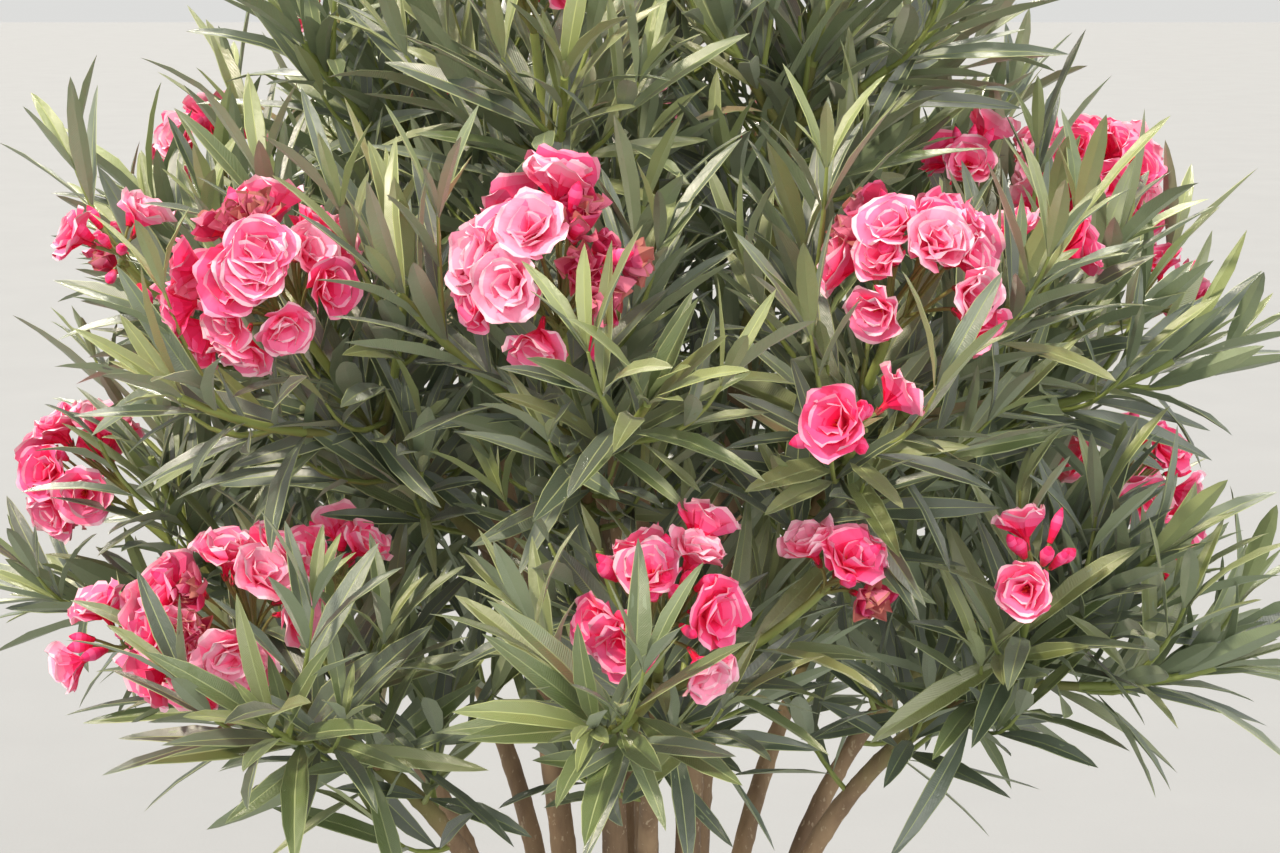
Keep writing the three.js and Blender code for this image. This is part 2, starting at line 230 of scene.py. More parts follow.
def turned(outline, steps):
    """A closed shape turned on the pot's axis, from its outline of radius and height."""
    made = bmesh.new()
    corners = [made.verts.new((radius, 0.0, height)) for radius, height in outline]
    edges = [made.edges.new(pair) for pair in zip(corners, corners[1:])]
    around = {"cent": (0, 0, 0), "axis": (0, 0, 1), "angle": 2 * np.pi, "steps": steps, "use_merge": True}
    bmesh.ops.spin(made, geom=corners + edges, **around)
    bmesh.ops.remove_doubles(made, verts=made.verts, dist=1e-5)
    bmesh.ops.recalc_face_normals(made, faces=made.faces)
    return made


def finished(name, made, sharp_angle):
    """A bmesh as a smooth mesh whose corners past an angle stay sharp."""
    mesh = bpy.data.meshes.new(name)
    made.to_mesh(mesh)
    made.free()
    mesh.shade_smooth()
    mesh.set_sharp_from_angle(angle=sharp_angle)
    return mesh


band_foot = POT_HEIGHT - BAND_HEIGHT
score = POT_HEIGHT - SCORE_BELOW_RIM
wall_heights = np.linspace(0.0, band_foot, WALL_RINGS)
outline = [(0.0, 0.0)]
outline += [(outer_wall(z) + WHEEL_RIPPLE * np.sin(WHEEL_RIPPLES * z) ** 2, z) for z in wall_heights]
outline += [(RIM_RADIUS - BAND_SLOPE, band_foot), (RIM_RADIUS, score - SCORE_HALF)]
outline += [(RIM_RADIUS - SCORE_DEPTH, score), (RIM_RADIUS, score + SCORE_HALF), (RIM_RADIUS, POT_HEIGHT)]
outline += [(outer_wall(z) - WALL, z) for z in (POT_HEIGHT, POT_FLOOR)]
outline += [(0.0, POT_FLOOR)]
pot_shape = turned(outline, POT_STEPS)
corners = [edge for edge in pot_shape.edges if edge.calc_face_angle(0.0) > CORNER_ANGLE]
rounding = {"offset": POT_EDGE, "segments": 4, "profile": 0.5, "affect": "EDGES", "material": -1}
bmesh.ops.bevel(pot_shape, geom=corners, **rounding)

clay = Look("terracotta", roughness=0.86, specular=0.3)
height = clay.node("ShaderNodeSeparateXYZ", sockets={0: clay.places()}, output=2)
mottle = clay.between(clay.cloud(9.0, 8), 0.32, 0.68)
fired = clay.mixed(mottle, "a9603f", "c07a55")
streaks = clay.between(clay.cloud(26.0, 6, (1, 1, 0.12)), 0.50, 0.72)
weathered = clay.mixed(streaks * 0.35, fired, "8d4f36")
lime = clay.between(clay.cloud(6.5, 9, rough=0.66), 0.50, 0.70)
near_rim = clay.between(height, 0.20, 0.36, 0.25, 0.85)
limed = clay.mixed(lime * near_rim, weathered, "d6c2b0")
damp = clay.between(height + clay.cloud(11.0, 5) * 0.07, 0.03, 0.085, 0.55, 0.0)
clay.plug(clay.shader["Base Color"], clay.mixed(damp, limed, "5f4a36"))
clay.plug(clay.shader["Roughness"], clay.between(clay.cloud(60.0), 0.3, 0.7, 0.78, 0.95))
pores = clay.cloud(420.0, 5)
wheel_lines = clay.cloud(14.0, 3, (0.4, 0.4, 26.0))
clay.raise_by(pores * 0.35 + wheel_lines * 0.65, 0.0009)
pot = placed("clay_pot", finished("clay_pot", pot_shape, np.radians(50.0)), [clay])
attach(pot, "root")
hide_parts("pot")

# The soil
# Dark potting soil that fills the pot to a little below its rim, heaped unevenly, with crumbs of peat
# and a few pale grits lying on it.
SOIL_LEVEL = POT_HEIGHT - 0.034
SOIL_GAP = 0.0003
SOIL_STEPS = 110
SOIL_RINGS = 48
HEAPS = ((9.0, 0.0046), (34.0, 0.0024), (110.0, 0.0011))
CRUMBS = 1500
CRUMBS_WITHIN = 0.985
CRUMB_SIZES = (0.0016, 0.0052)
CRUMB_LUMPS = (0.65, 1.25)
CRUMB_STRETCH = (0.5, 1.2)
CRUMB_PROUD = 0.35
GRIT_SHARE = 0.05
GRIT = 3


class Heap:
    """Small shapes that are gathered as arrays, to make one joined mesh of them."""

    def __init__(self):
        self.places = []
        self.corners = []
        self.sizes = []
        self.tints = []
        self.spreads = []
        self.count = 0

    def add(self, places, faces, tints, spread=None):
        """Like shapes: the places of each one's corners, the faces that all share, and their tints."""
        many, each = places.shape[:2]
        firsts = self.count + each * np.arange(many)
        pattern = np.concatenate([np.asarray(face) for face in faces])
        spread = np.zeros((each, 2)) if spread is None else spread
        self.places.append(places.reshape(-1, 3))
        self.corners.append((firsts[:, None] + pattern).ravel())
        self.sizes.append(np.tile([len(face) for face in faces], many))
        self.tints.append(np.broadcast_to(tints, (many, len(faces))).ravel())
        self.spreads.append(np.tile(spread, (many, 1)))
        self.count += many * each

    def mesh(self, name, sharp_angle):
        mesh = bpy.data.meshes.new(name)
        corners = np.concatenate(self.corners)
        sizes = np.concatenate(self.sizes)
        mesh.vertices.add(self.count)
        mesh.vertices.foreach_set("co", np.concatenate(self.places).ravel())
        mesh.loops.add(len(corners))
        mesh.loops.foreach_set("vertex_index", corners)
        mesh.polygons.add(len(sizes))
        mesh.polygons.foreach_set("loop_start", np.cumsum(sizes) - sizes)
        mesh.polygons.foreach_set("material_index", np.concatenate(self.tints))
        spread = np.concatenate(self.spreads)[corners]
        mesh.uv_layers.new(name="spread").uv.foreach_set("vector", spread.ravel())
        mesh.update(calc_edges=True)
        mesh.shade_smooth()
        mesh.set_sharp_from_angle(angle=sharp_angle)
        return mesh


def ground(x, y):
    """The height of the soil's surface."""
    return SOIL_LEVEL + sum(depth * noise.noise((x * fine, y * fine, fine)) for fine, depth in HEAPS)


soil_rim = outer_wall(SOIL_LEVEL) - WALL - SOIL_GAP
soil_foot = outer_wall(POT_FLOOR) - WALL - SOIL_GAP
rings = np.linspace(0.0, soil_rim, SOIL_RINGS)
outline = [(radius, SOIL_LEVEL) for radius in rings]
outline += [(soil_foot, POT_FLOOR + SOIL_GAP), (0.0, POT_FLOOR + SOIL_GAP)]
soil_shape = turned(outline, SOIL_STEPS)
for corner in soil_shape.verts:
    if corner.co.z > SOIL_LEVEL / 2:
        corner.co.z = ground(corner.co.x, corner.co.y)

peat = Look("potting_soil", roughness=0.95, specular=0.2)
clods = peat.between(peat.cloud(55.0, 8), 0.35, 0.65)
peat.plug(peat.shader["Base Color"], peat.mixed(clods, "2a1e16", "4a3626"))
peat.plug(peat.shader["Roughness"], peat.between(peat.cloud(24.0), 0.35, 0.65, 0.82, 1.0))
peat.raise_by(peat.cloud(190.0, 8), 0.004)
soil = placed("potting_soil", finished("potting_soil", soil_shape, np.radians(60.0)), [peat])
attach(soil, "root")
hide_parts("soil")


def speckled(name, base, roughness, depth, scale, specular=0.5):
    """A look in one plain colour, with an uneven gloss and a fine uneven surface."""
    look = Look(name, base, specular=specular)
    gloss = look.between(look.cloud(scale), 0.3, 0.7, roughness - 0.07, roughness + 0.07)
    look.plug(look.shader["Roughness"], gloss)
    look.raise_by(look.cloud(scale * 3), depth)
    return look


chance = np.random.default_rng(11)
shape = bmesh.new()
bmesh.ops.create_icosphere(shape, subdivisions=1, radius=1.0)
lump = np.array([corner.co for corner in shape.verts])
lump_faces = [[corner.index for corner in face.verts] for face in shape.faces]
shape.free()
reach = soil_rim * CRUMBS_WITHIN * np.sqrt(chance.random(CRUMBS))
turn = chance.random(CRUMBS) * 2 * np.pi
x, y = reach * np.cos(turn), reach * np.sin(turn)
size = chance.uniform(*CRUMB_SIZES, CRUMBS)
z = np.array([ground(*spot) for spot in zip(x, y)]) + size * CRUMB_PROUD
uneven = chance.uniform(*CRUMB_LUMPS, (CRUMBS, len(lump), 1))
uneven = uneven * chance.uniform(*CRUMB_STRETCH, (CRUMBS, 1, 3))
places = np.stack((x, y, z), axis=1)[:, None] + lump * uneven * size[:, None, None]
is_grit = chance.random(CRUMBS) < GRIT_SHARE
tints = np.where(is_grit, GRIT, chance.integers(0, GRIT, CRUMBS))
crumbs = Heap()
crumbs.add(places, lump_faces, tints[:, None])
crumb_looks = [
    speckled("dark_crumb", "241912", 0.92, 0.0010, 300.0),
    speckled("peat_crumb", "3d2c1f", 0.92, 0.0010, 300.0),
    speckled("bark_crumb", "5c4330", 0.90, 0.0010, 300.0),
    speckled("pale_grit", "a59c8e", 0.85, 0.0006, 300.0),
]
soil_crumbs = placed("soil_crumbs", crumbs.mesh("soil_crumbs", np.radians(25.0)), crumb_looks)
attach(soil_crumbs, "root")

# The stems and boughs
# Woody stems that stand in the soil and lean outwards, and boughs that fork from the five upper ones.
# Their bark is tan and smooth with pale pores and rings of leaf scars, and turns olive towards the tips.
TIERS = (
    {"name": "crest", "count": 1, "turn": 20, "out": 0.028, "height": 1.165, "lean": 5},
    {"name": "upper", "count": 5, "turn": 30, "out": 0.160, "height": 1.075, "lean": 20},
    {"name": "middle", "count": 10, "turn": 12, "out": 0.270, "height": 0.915, "lean": 42},
    {"name": "lower", "count": 8, "turn": 5, "out": 0.285, "height": 0.705, "lean": 54},
)
PLANT_SEED = 41
TURN_SCATTER = 4
OUT_SCATTER = 0.020
HEIGHT_SCATTER = 0.034
LEAN_SCATTER = 5
FOOT_CIRCLE = {"crest": 0.008, "upper": 0.052, "lower": 0.104}
STEM_RADII = {"crest": (0.0115, 0.0064), "upper": (0.0125, 0.0064), "lower": (0.0105, 0.006)}
BOUGH_RADII = (0.0064, 0.0054)
FORK_SHARES = (0.52, 0.62)
ROOT_FLARE = 0.005
ROOT_FLARE_HEIGHT = 0.028
TIP_PULL = 0.45
SEAT_GAP = 0.0003
LIMB_SIDES = 18
LIMB_RING_STEP = 0.006
FOOT_SUNK = 0.008
SCAR_STEP = 0.031
SCAR_SIZE = 0.0030
SCAR_PROUD = 0.0011
SCAR_RING = 0.3
SCAR_WIDTH = 0.45
SCAR_TURN = 1.7
BARK_ROUGH = 0.0008
BARK_WAVES = ((1.6, 26, 1.0), (5.0, 95, 0.45))
BOUGH_YOUTH = 0.25
AGEING = 1.5
UP = np.array((0.0, 0.0, 1.0))
EAST = np.array((1.0, 0.0, 0.0))
UPRIGHT = 0.9
LEVEL = 90
SEED_FACTOR = 7919
SEED_OFFSET = 12345
RULE_FACTOR = 1664525
RULE_OFFSET = 1013904223
RULE_RANGE = 2**32


def seeded(seed):
    """A seeded rule, the source's own, that draws the same run of numbers every time."""
    state = (seed * SEED_FACTOR + SEED_OFFSET) % RULE_RANGE

    def draw(low, high):
        nonlocal state
        state = (RULE_FACTOR * state + RULE_OFFSET) % RULE_RANGE
        return low + (high - low) * state / RULE_RANGE

    draw(0, 1)
    draw(0, 1)
    return draw


def unit(vectors):
    return vectors / np.linalg.norm(vectors, axis=-1, keepdims=True)


def heading(azimuth, lean):
    """A unit vector at an azimuth, leaning from upright, both in degrees."""
    turn, tilt = np.radians((azimuth, lean))
    return np.array((np.sin(tilt) * np.cos(turn), np.sin(tilt) * np.sin(turn), np.cos(tilt)))


def off_axis(directions):
    """For each direction, one well away from it: up, or east where it is upright itself."""
    return np.where(np.abs(directions[..., 2:]) < UPRIGHT, UP, EAST)


def square_to(direction):
    """Two unit vectors square to a direction."""
    side = unit(np.cross(off_axis(direction), direction))
    return side, np.cross(side, direction)


def splayed(axis, tilt, turn):
    """A direction that leaves an axis at a tilt, at an angle round it, both in degrees."""
    side, other = square_to(axis)
    tilt, turn = np.radians((tilt, turn))
    return np.cos(tilt) * axis + np.sin(tilt) * (np.cos(turn) * side + np.sin(turn) * other)


class Way:
    """The way of a limb or twig: a curve through a start, towards a bend, to a tip, and its radius."""

    def __init__(self, start, bend, tip, radii, flare=0.0, roll=0.0):
        self.start = start
        self.bend = bend
        self.tip = tip
        self.radii = radii
        self.flare = flare
        self.roll = roll
        self.span = np.linalg.norm(tip - start)

    def point(self, share):
        share = np.asarray(share)[..., None]
        return (1 - share) ** 2 * self.start + 2 * share * (1 - share) * self.bend + share**2 * self.tip

    def tangent(self, share):
        share = np.asarray(share)[..., None]
        return unit((1 - share) * (self.bend - self.start) + share * (self.tip - self.bend))

    def radius(self, share):
        share = np.asarray(share)
        flare = self.flare * np.exp(-share * self.span / ROOT_FLARE_HEIGHT)
        return self.radii[0] + (self.radii[1] - self.radii[0]) * share + flare

    def sides(self, share):
        """Two directions square to the way, which don't twist from its start to its tip."""
        first, second = square_to(self.tangent(0.5))
        across = np.cos(np.radians(self.roll)) * first + np.sin(np.radians(self.roll)) * second
        tangent = self.tangent(share)
        side = unit(across - (tangent @ across)[..., None] * tangent)
        return side, np.cross(side, tangent)


def grow_limbs():
    """The limbs, from the soil to the masses of foliage, by the source's rule."""
    limbs = []
    scatter = seeded(PLANT_SEED)
    for tier in TIERS:
        for i in range(tier["count"]):
            azimuth = tier["turn"] + 360 / tier["count"] * i + scatter(-TURN_SCATTER, TURN_SCATTER)
            tip = heading(azimuth, LEVEL) * (tier["out"] + scatter(-OUT_SCATTER, OUT_SCATTER))
            tip[2] = tier["height"] + scatter(-HEIGHT_SCATTER, HEIGHT_SCATTER)
            direction = heading(azimuth, tier["lean"] + scatter(-LEAN_SCATTER, LEAN_SCATTER))
            limb = {"place": f"{tier['name']}_{i + 1}", "tier": tier["name"], "direction": direction}
            if tier["name"] == "middle":
                limb["stem"] = next(other for other in limbs if other["place"] == f"upper_{i // 2 + 1}")
                start = limb["stem"]["way"].point(FORK_SHARES[i % 2])
                radii, flare = BOUGH_RADII, 0.0
            else:
                start = heading(azimuth, LEVEL) * FOOT_CIRCLE[tier["name"]]
                start[2] = SOIL_LEVEL + SEAT_GAP
                radii, flare = STEM_RADII[tier["name"]], ROOT_FLARE
            bend = tip - direction * TIP_PULL * np.linalg.norm(tip - start)
            limb["way"] = Way(start, bend, tip, radii, flare)
            limb["node"] = ("bough_" if "stem" in limb else "stem_") + limb["place"]
            limbs.append(limb)
    return limbs


def rod_faces(rings, sides):
    """The faces of a closed rod: its skin, and a fan at each end."""
    faces = []
    for ring in range(rings - 1):
        for side in range(sides):
            here, beside = ring * sides + side, ring * sides + (side + 1) % sides
            faces.append((here, beside, beside + sides, here + sides))
    foot, tip, last = rings * sides, rings * sides + 1, (rings - 1) * sides
    for side in range(sides):
        beside = (side + 1) % sides
        faces.append((foot, beside, side))
        faces.append((tip, last + side, last + beside))
    return faces


def ringed(centres, side, other, radii, ends):
    """The corners of a rod: a ring round each centre, with radii for each of its sides, and two ends."""
    turns = np.linspace(0, 2 * np.pi, radii.shape[-1], endpoint=False)
    around = np.cos(turns)[:, None] * side[..., None, :] - np.sin(turns)[:, None] * other[..., None, :]
    skin = centres[..., None, :] + radii[..., None] * around
    many = skin.shape[0]
    return np.concatenate((skin.reshape(many, -1, 3), ends), axis=1)


def bark_relief(lengths, turns, scar_turn):
    """How proud the bark stands at each ring and side: ridges, knots and whorls of leaf scars."""
    proud = np.zeros((len(lengths), len(turns)))
    for around, along, depth in BARK_WAVES:
        for row, length in enumerate(lengths):
            for column, turn in enumerate(turns):
                spot = (around * np.cos(turn), around * np.sin(turn), length * along + scar_turn)
                proud[row, column] += BARK_ROUGH * depth * noise.noise(spot)
    for number, at in enumerate(np.arange(SCAR_STEP, lengths[-1], SCAR_STEP)):
        swell = SCAR_PROUD * np.exp(-(((lengths - at) / SCAR_SIZE) ** 2))[:, None]
        proud += SCAR_RING * swell
        for third in range(3):
            centre = scar_turn + number * np.pi / 3 + third * 2 * np.pi / 3
            apart = (turns - centre + np.pi) % (2 * np.pi) - np.pi
            proud += swell * np.exp(-((apart / SCAR_WIDTH) ** 2))
    return proud


def limb_shape(limb, order):
    """A limb's corners and faces, and how old its bark is at each corner."""
    way = limb["way"]
    rings = int(way.span / LIMB_RING_STEP)
    shares = np.linspace(0, 1, rings)
    centres = way.point(shares)
    if "stem" not in limb:
        centres[0, 2] -= FOOT_SUNK
    turns = np.linspace(0, 2 * np.pi, LIMB_SIDES, endpoint=False)
    relief = bark_relief(shares * way.span, turns, SCAR_TURN * order)
    side, other = way.sides(shares)
    radii = way.radius(shares)[:, None] + relief
    places = ringed(centres[None], side[None], other[None], radii[None], centres[None, [0, -1]])
    youth = BOUGH_YOUTH + (1 - BOUGH_YOUTH) * shares if "stem" in limb else shares**AGEING
    return places, rod_faces(rings, LIMB_SIDES), np.append(np.repeat(youth, LIMB_SIDES), youth[[0, -1]])


bark = Look("bark", specular=0.35)
youth = bark.node("ShaderNodeAttribute", {"attribute_name": "youth"}, output="Fac")
plates = bark.between(bark.cloud(24.0, 7, (1, 1, 0.35)), 0.35, 0.65)
old_bark = bark.mixed(plates, "7d6650", "a58c6f")
pores = bark.between(bark.cloud(230.0, 3, (1, 1, 0.6)), 0.61, 0.68)
flecked = bark.mixed(pores * 0.6, old_bark, "c9b89d")
green = bark.between(youth + plates * 0.15, 0.62, 1.05)
bark.plug(bark.shader["Base Color"], bark.mixed(green, flecked, "7c7f48"))
bark.plug(bark.shader["Roughness"], bark.between(plates, 0.0, 1.0, 0.62, 0.82))
bark.raise_by(bark.cloud(150.0, 6, (1, 1, 0.45)), 0.0016)

limbs = grow_limbs()
for stem in (limb for limb in limbs if "stem" not in limb):
    family = [stem] + [limb for limb in limbs if limb.get("stem") is stem]
    wood = Heap()
    ages = []
    for member in family:
        places, faces, age = limb_shape(member, limbs.index(member))
        wood.add(places, faces, 0)
        ages.append(age)
    name = f"woody_{stem['node']}"
    mesh = wood.mesh(name, np.radians(70.0))
    mesh.attributes.new("youth", "FLOAT", "POINT").data.foreach_set("value", np.concatenate(ages))
    piece = placed(name, mesh, [bark])
    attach(piece, "root")
    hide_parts(*(member["node"] for member in family))

# The growth of the crown
# From each limb's tip a leading twig turns up to the light, three shoots fork from it by the source's
# rule, and finer twigs grow on from those and from the limb. Each bears whorls of three leaves, and a
# head of blossom ends three leading twigs in four and some of the shoots.
SPACE_REACH = 0.350
SPACE_MARGIN = 0.0015
SPACE_REACH_SLACK = 0.015
HUB_REACH = 0.150
LEAD_STEM = 0.066
LEAD_LENGTH = 0.165
LEAD_TRIES = (1, 0.85, 0.7)
LEAD_UPTURN = 0.17
LEAD_RADII = (0.0048, 0.0032)
SHOOTS = 3
SHOOT_START = 0.3
SHOOT_STEP = 0.045
FORK_TRIES = (1, 0.75, 0.5)
SHOOT = {"spread": (38, 52), "length": (0.150, 0.190), "upturn": 0.34, "radii": (0.0042, 0.003), "slack": 0}
TWIG = {"length": (0.085, 0.135), "upturn": 0.6, "radii": (0.0027, 0.0012), "slack": 0.02}
LIMB_TWIG = {"spread": (40, 75), **TWIG}
LOW_TWIG = {"spread": (95, 140), **TWIG}
INNER_TWIG = {"spread": (56, 84), **TWIG}
OUTER_TWIG = {"spread": (30, 44), **TWIG}
LIMB_FORKS = (0.68, 0.76, 0.83, 0.89, 0.95)
LEAD_FORKS = (0.03, 0.05, 0.07, 0.10, 0.15, 0.21, 0.44, 0.56, 0.68)
SHOOT_FORKS = (0.14, 0.32, 0.52, 0.74)
LOW_SHARE = 0.09
INNER_SHARE = 0.25
LOWEST_WAY = -0.25
GOLDEN_TURN = 137.5
FINER_SEED = 1000
SIDE_HEAD_SEED = 2059
LIMB_SAMPLES = 40
TWIG_SAMPLES = 8
TWIG_CLEARANCE = 0.008
FREE_FROM = 3
HEAD_BALL = 0.0799
BARE_EVERY = 4
SIDE_HEADS = 0.25
HEAD_ROOM = 0.070
SIDE_HEAD_ROOM = 0.044
BESIDE_HEAD = 0.7
LEAD_NECK = 0.82


def balls_along(way, count):
    """Balls that fill a limb or twig from its start to its tip."""
    shares = np.linspace(0, 1, count + 1)
    return way.point(shares), way.radius(shares)


limb_balls = [balls_along(limb["way"], LIMB_SAMPLES) for limb in limbs]
limb_centres = np.concatenate([centres for centres, _ in limb_balls])
limb_radii = np.concatenate([radii for _, radii in limb_balls])


def clear_of_limbs(centres, radii, gap):
    """Whether balls keep a gap from every limb."""
    centres, radii = np.atleast_2d(centres), np.atleast_1d(radii)
    apart = np.linalg.norm(centres[:, None] - limb_centres, axis=-1)
    return bool((apart > radii[:, None] + limb_radii + gap).all())


masses = [
    {
        "place": limb["place"],
        "limb": limb["way"],
        "root": limb["way"].tip + limb["direction"] * SEAT_GAP,
        "hub": limb["way"].tip + limb["direction"] * HUB_REACH,
        "direction": limb["direction"],
        "seed": PLANT_SEED + i + 1,
        "flowers": i % BARE_EVERY != BARE_EVERY - 1,
        "number": i,
    }
    for i, limb in enumerate(limbs)
]
hubs = np.array([mass["hub"] for mass in masses])


def holds(mass, spots, slack=0.0):
    """Whether spots lie within a mass's reach, and nearer to its hub than to any other's."""
    spots = np.atleast_2d(spots)
    apart = np.linalg.norm(spots[:, None] - hubs, axis=-1)
    own = apart[:, mass["number"]].copy()
    apart[:, mass["number"]] = np.inf
    near = np.linalg.norm(spots - mass["root"], axis=-1) < SPACE_REACH + min(slack, SPACE_REACH_SLACK)
    return bool((near & (own + SPACE_MARGIN < apart.min(axis=1) + slack)).all())


def grow_lead(mass):
    """The twig that leads a mass, with room round its end for a head of blossom if it flowers."""
    bend = mass["root"] + mass["direction"] * LEAD_STEM
    rising = unit(mass["direction"] * (1 - LEAD_UPTURN) + UP * LEAD_UPTURN)
    head = HEAD_BALL if mass["flowers"] else 0.0
    for size in LEAD_TRIES:
        tip = bend + rising * LEAD_LENGTH * size
        bounds = [tip + side * sign * head for side in square_to(mass["direction"]) for sign in (1, -1)]
        if holds(mass, bounds) and clear_of_limbs(tip, head, TWIG_CLEARANCE):
            break
    return Way(mass["root"], bend, tip, LEAD_RADII)


def twig_from(parent, share, axis, turn, kind, mass, draw):
    """A twig that slants from another and turns up to the light, at the longest try that fits. A kind
    with slack may reach a little out of its mass's space, and its foot may lie close to the limb, but
    it doesn't start steeply down, and it keeps out of the heads of blossom."""
    away = splayed(axis, draw(*kind["spread"]), turn)
    length = draw(*kind["length"])
    roll = draw(0, 360)
    if kind["slack"]:
        away = unit(np.array((away[0], away[1], max(away[2], LOWEST_WAY))))
    start = parent.point(share)
    risen = unit(away * (1 - kind["upturn"]) + UP * kind["upturn"])
    for size in FORK_TRIES:
        bend = start + away * length * size / 2
        way = Way(start, bend, bend + risen * length * size / 2, kind["radii"], roll=roll)
        centres, radii = balls_along(way, TWIG_SAMPLES)
        if kind["slack"]:
            clear = clear_of_limbs(centres[FREE_FROM:], radii[FREE_FROM:], SPACE_MARGIN)
            clear = clear and clear_of_heads(centres[FREE_FROM:], BESIDE_HEAD) and clear_of_heads(way.tip)
        else:
            clear = clear_of_limbs(centres, radii, TWIG_CLEARANCE)
        if clear and holds(mass, centres, kind["slack"]):
            return way
    return None


def finer_kind(share):
    """The kind of a finer twig: the lowest ones turn back, to fill the inside of the crown."""
    if share < LOW_SHARE:
        return LOW_TWIG
    return INNER_TWIG if share < INNER_SHARE else OUTER_TWIG


def grow_shoots(mass):
    """A mass's leading twig and its three shoots, by the source's rule."""
    draw = seeded(mass["seed"])
    lead = grow_lead(mass)
    turn = draw(0, 360)
    shoots = []
    for i in range(SHOOTS):
        share = SHOOT_START + SHOOT_STEP * i
        around = turn + 360 / SHOOTS * i
        shoots.append(twig_from(lead, share, mass["direction"], around, SHOOT, mass, draw))
    shoots = [shoot for shoot in shoots if shoot]
    draw = seeded(mass["seed"] + SIDE_HEAD_SEED)
    mass["lead"] = lead
    mass["ways"] = {"lead": [lead], "shoot": shoots}
    mass["flowering_shoots"] = [shoot for shoot in shoots if draw(0, 1) < SIDE_HEADS]


for mass in masses:
    grow_shoots(mass)
heads = [(mass["lead"].tip, HEAD_ROOM) for mass in masses if mass["flowers"]]
heads += [(shoot.tip, SIDE_HEAD_ROOM) for mass in masses for shoot in mass["flowering_shoots"]]
head_centres = np.array([centre for centre, _ in heads])
head_rooms = np.array([room for _, room in heads])


def clear_of_heads(spots, share=1.0):
    """Whether spots keep out of the balls of blossom, or of a share of their radii."""
    apart = np.linalg.norm(np.atleast_2d(spots)[:, None] - head_centres, axis=-1)
    return bool((apart > head_rooms * share).all())


def grow_finer(mass):
    """The finer twigs, which fork from the limb, the leading twig and the shoots."""
    finer = seeded(mass["seed"] + FINER_SEED)
    parents = [(mass["limb"], LIMB_FORKS), (mass["lead"], LEAD_FORKS)]
    parents += [(shoot, SHOOT_FORKS) for shoot in mass["ways"]["shoot"]]
    twigs = []
    for parent, forks in parents:
        turn = finer(0, 360)
        for number, share in enumerate(forks):
            kind = LIMB_TWIG if parent is mass["limb"] else finer_kind(share)
            around = turn + GOLDEN_TURN * number
            twigs.append(twig_from(parent, share, parent.tangent(share), around, kind, mass, finer))
    mass["ways"]["twig"] = [twig for twig in twigs if twig]


for mass in masses:
    grow_finer(mass)


def leafy_end(mass, way):
    """The share of a twig that bears leaves: a leading twig is bare below its head of blossom."""
    return LEAD_NECK if way is mass["lead"] and mass["flowers"] else 1.0


WHORL = 3
FIRST_TURN = 30
WHORL_TURN = 60
WHORL_GAP = 0.021
FIRST_WHORL = {"lead": 0.30, "shoot": 0.20, "twig": 0.20}
LAST_WHORL = 0.96
LEAF_LENGTHS = {"lead": (0.115, 0.150), "shoot": (0.115, 0.155), "twig": (0.090, 0.135)}
LEAF_SHORTER_AT_TIP = 0.2
LEAF_SLENDER = (0.128, 0.168)
LEAF_TILTS = (62, 20)
LEAF_SCATTER = 8
LEAF_RISE = 0.34
LEAF_ARCHES = (8, 42)
LEAF_FOLDS = (6, 20)
LEAF_TWIST = 26
LEAF_TRIES = (1, 0.8, 0.62)
LEAF_SLACK = 0.040
LEAF_CLEARANCE = 0.001
LEAF_ROOM = 0.0055
LEAF_BULK = 0.4
TO_LIGHT = 0.45
LEAST_LEAVES = 4
TUFT = 4
TUFT_LENGTHS = (0.040, 0.075)
TUFT_TILTS = (8, 22)
TUFT_SCATTER = 20
MAIN_TINT_SHARE = 0.6
FRESH_FROM = 0.88
FRESH_SHARE = 0.35
DRY_BELOW = 0.45
DRY_SHARE = 0.02
YOUNG_SHARE = 0.35
LEAF_SEED = 2000
RIB_SPOTS = np.linspace(0, 1, 9)
RIB_FREE_FROM = 2
CELL = 0.012


class Crowd:
    """The leaves that stand so far, as points by the cell they lie in, to keep new ones out of them."""

    def __init__(self):
        self.cells = {}

    def has_room(self, points, whorl):
        for point in points:
            cell = np.floor(point / CELL).astype(int)
            for step in np.ndindex(3, 3, 3):
                for other, owner in self.cells.get(tuple(cell + step - 1), ()):
                    if owner != whorl and np.linalg.norm(point - other) < LEAF_ROOM:
                        return False
        return True

    def take(self, points, whorl):
        for point in points:
            self.cells.setdefault(tuple(np.floor(point / CELL).astype(int)), []).append((point, whorl))


DEEP, DUSKY, GREY, MOSS, OLIVE, DRY, FRESH, YOUNG, RIB, YOUNG_RIB, UNDER, YOUNG_UNDER = range(12)
# Blade tints dealt out by spray: partly the leaves' own spread of greens, partly painted shade in the deep
# ones and painted light shining through in the olive ones.
BLADE_TINTS = (DEEP, DUSKY, GREY, MOSS, OLIVE)
TUFT_TINTS = (OLIVE, FRESH)
crowd = Crowd()


def leaf_points(root, along, face, length, arch, shares):
    """Points at shares of leaves' lengths, along the rib, which bends back from the face by its arch."""
    root, along, face = (np.asarray(vector)[..., None, :] for vector in (root, along, face))
    length, arch = (np.asarray(number)[..., None, None] for number in (length, arch))
    bent = arch * shares[:, None]
    ahead = length * shares[:, None] * np.sinc(bent / np.pi)
    aback = length * (1 - np.cos(bent)) / arch
    return root + along * ahead - face * aback


def has_room(mass, rib, length, whorl):
    """Whether a leaf keeps to its mass's space, and clear of limbs, blossom and the other leaves."""
    half = LEAF_BULK * length * LEAF_SLENDER[1] * np.sin(np.pi * RIB_SPOTS)
    middle_and_tip = rib[[len(rib) // 2, -1]]
    if not holds(mass, middle_and_tip, LEAF_SLACK) or not clear_of_limbs(rib[1:], half[1:], LEAF_CLEARANCE):
        return False
    return clear_of_heads(rib) and crowd.has_room(rib[RIB_FREE_FROM:], whorl)


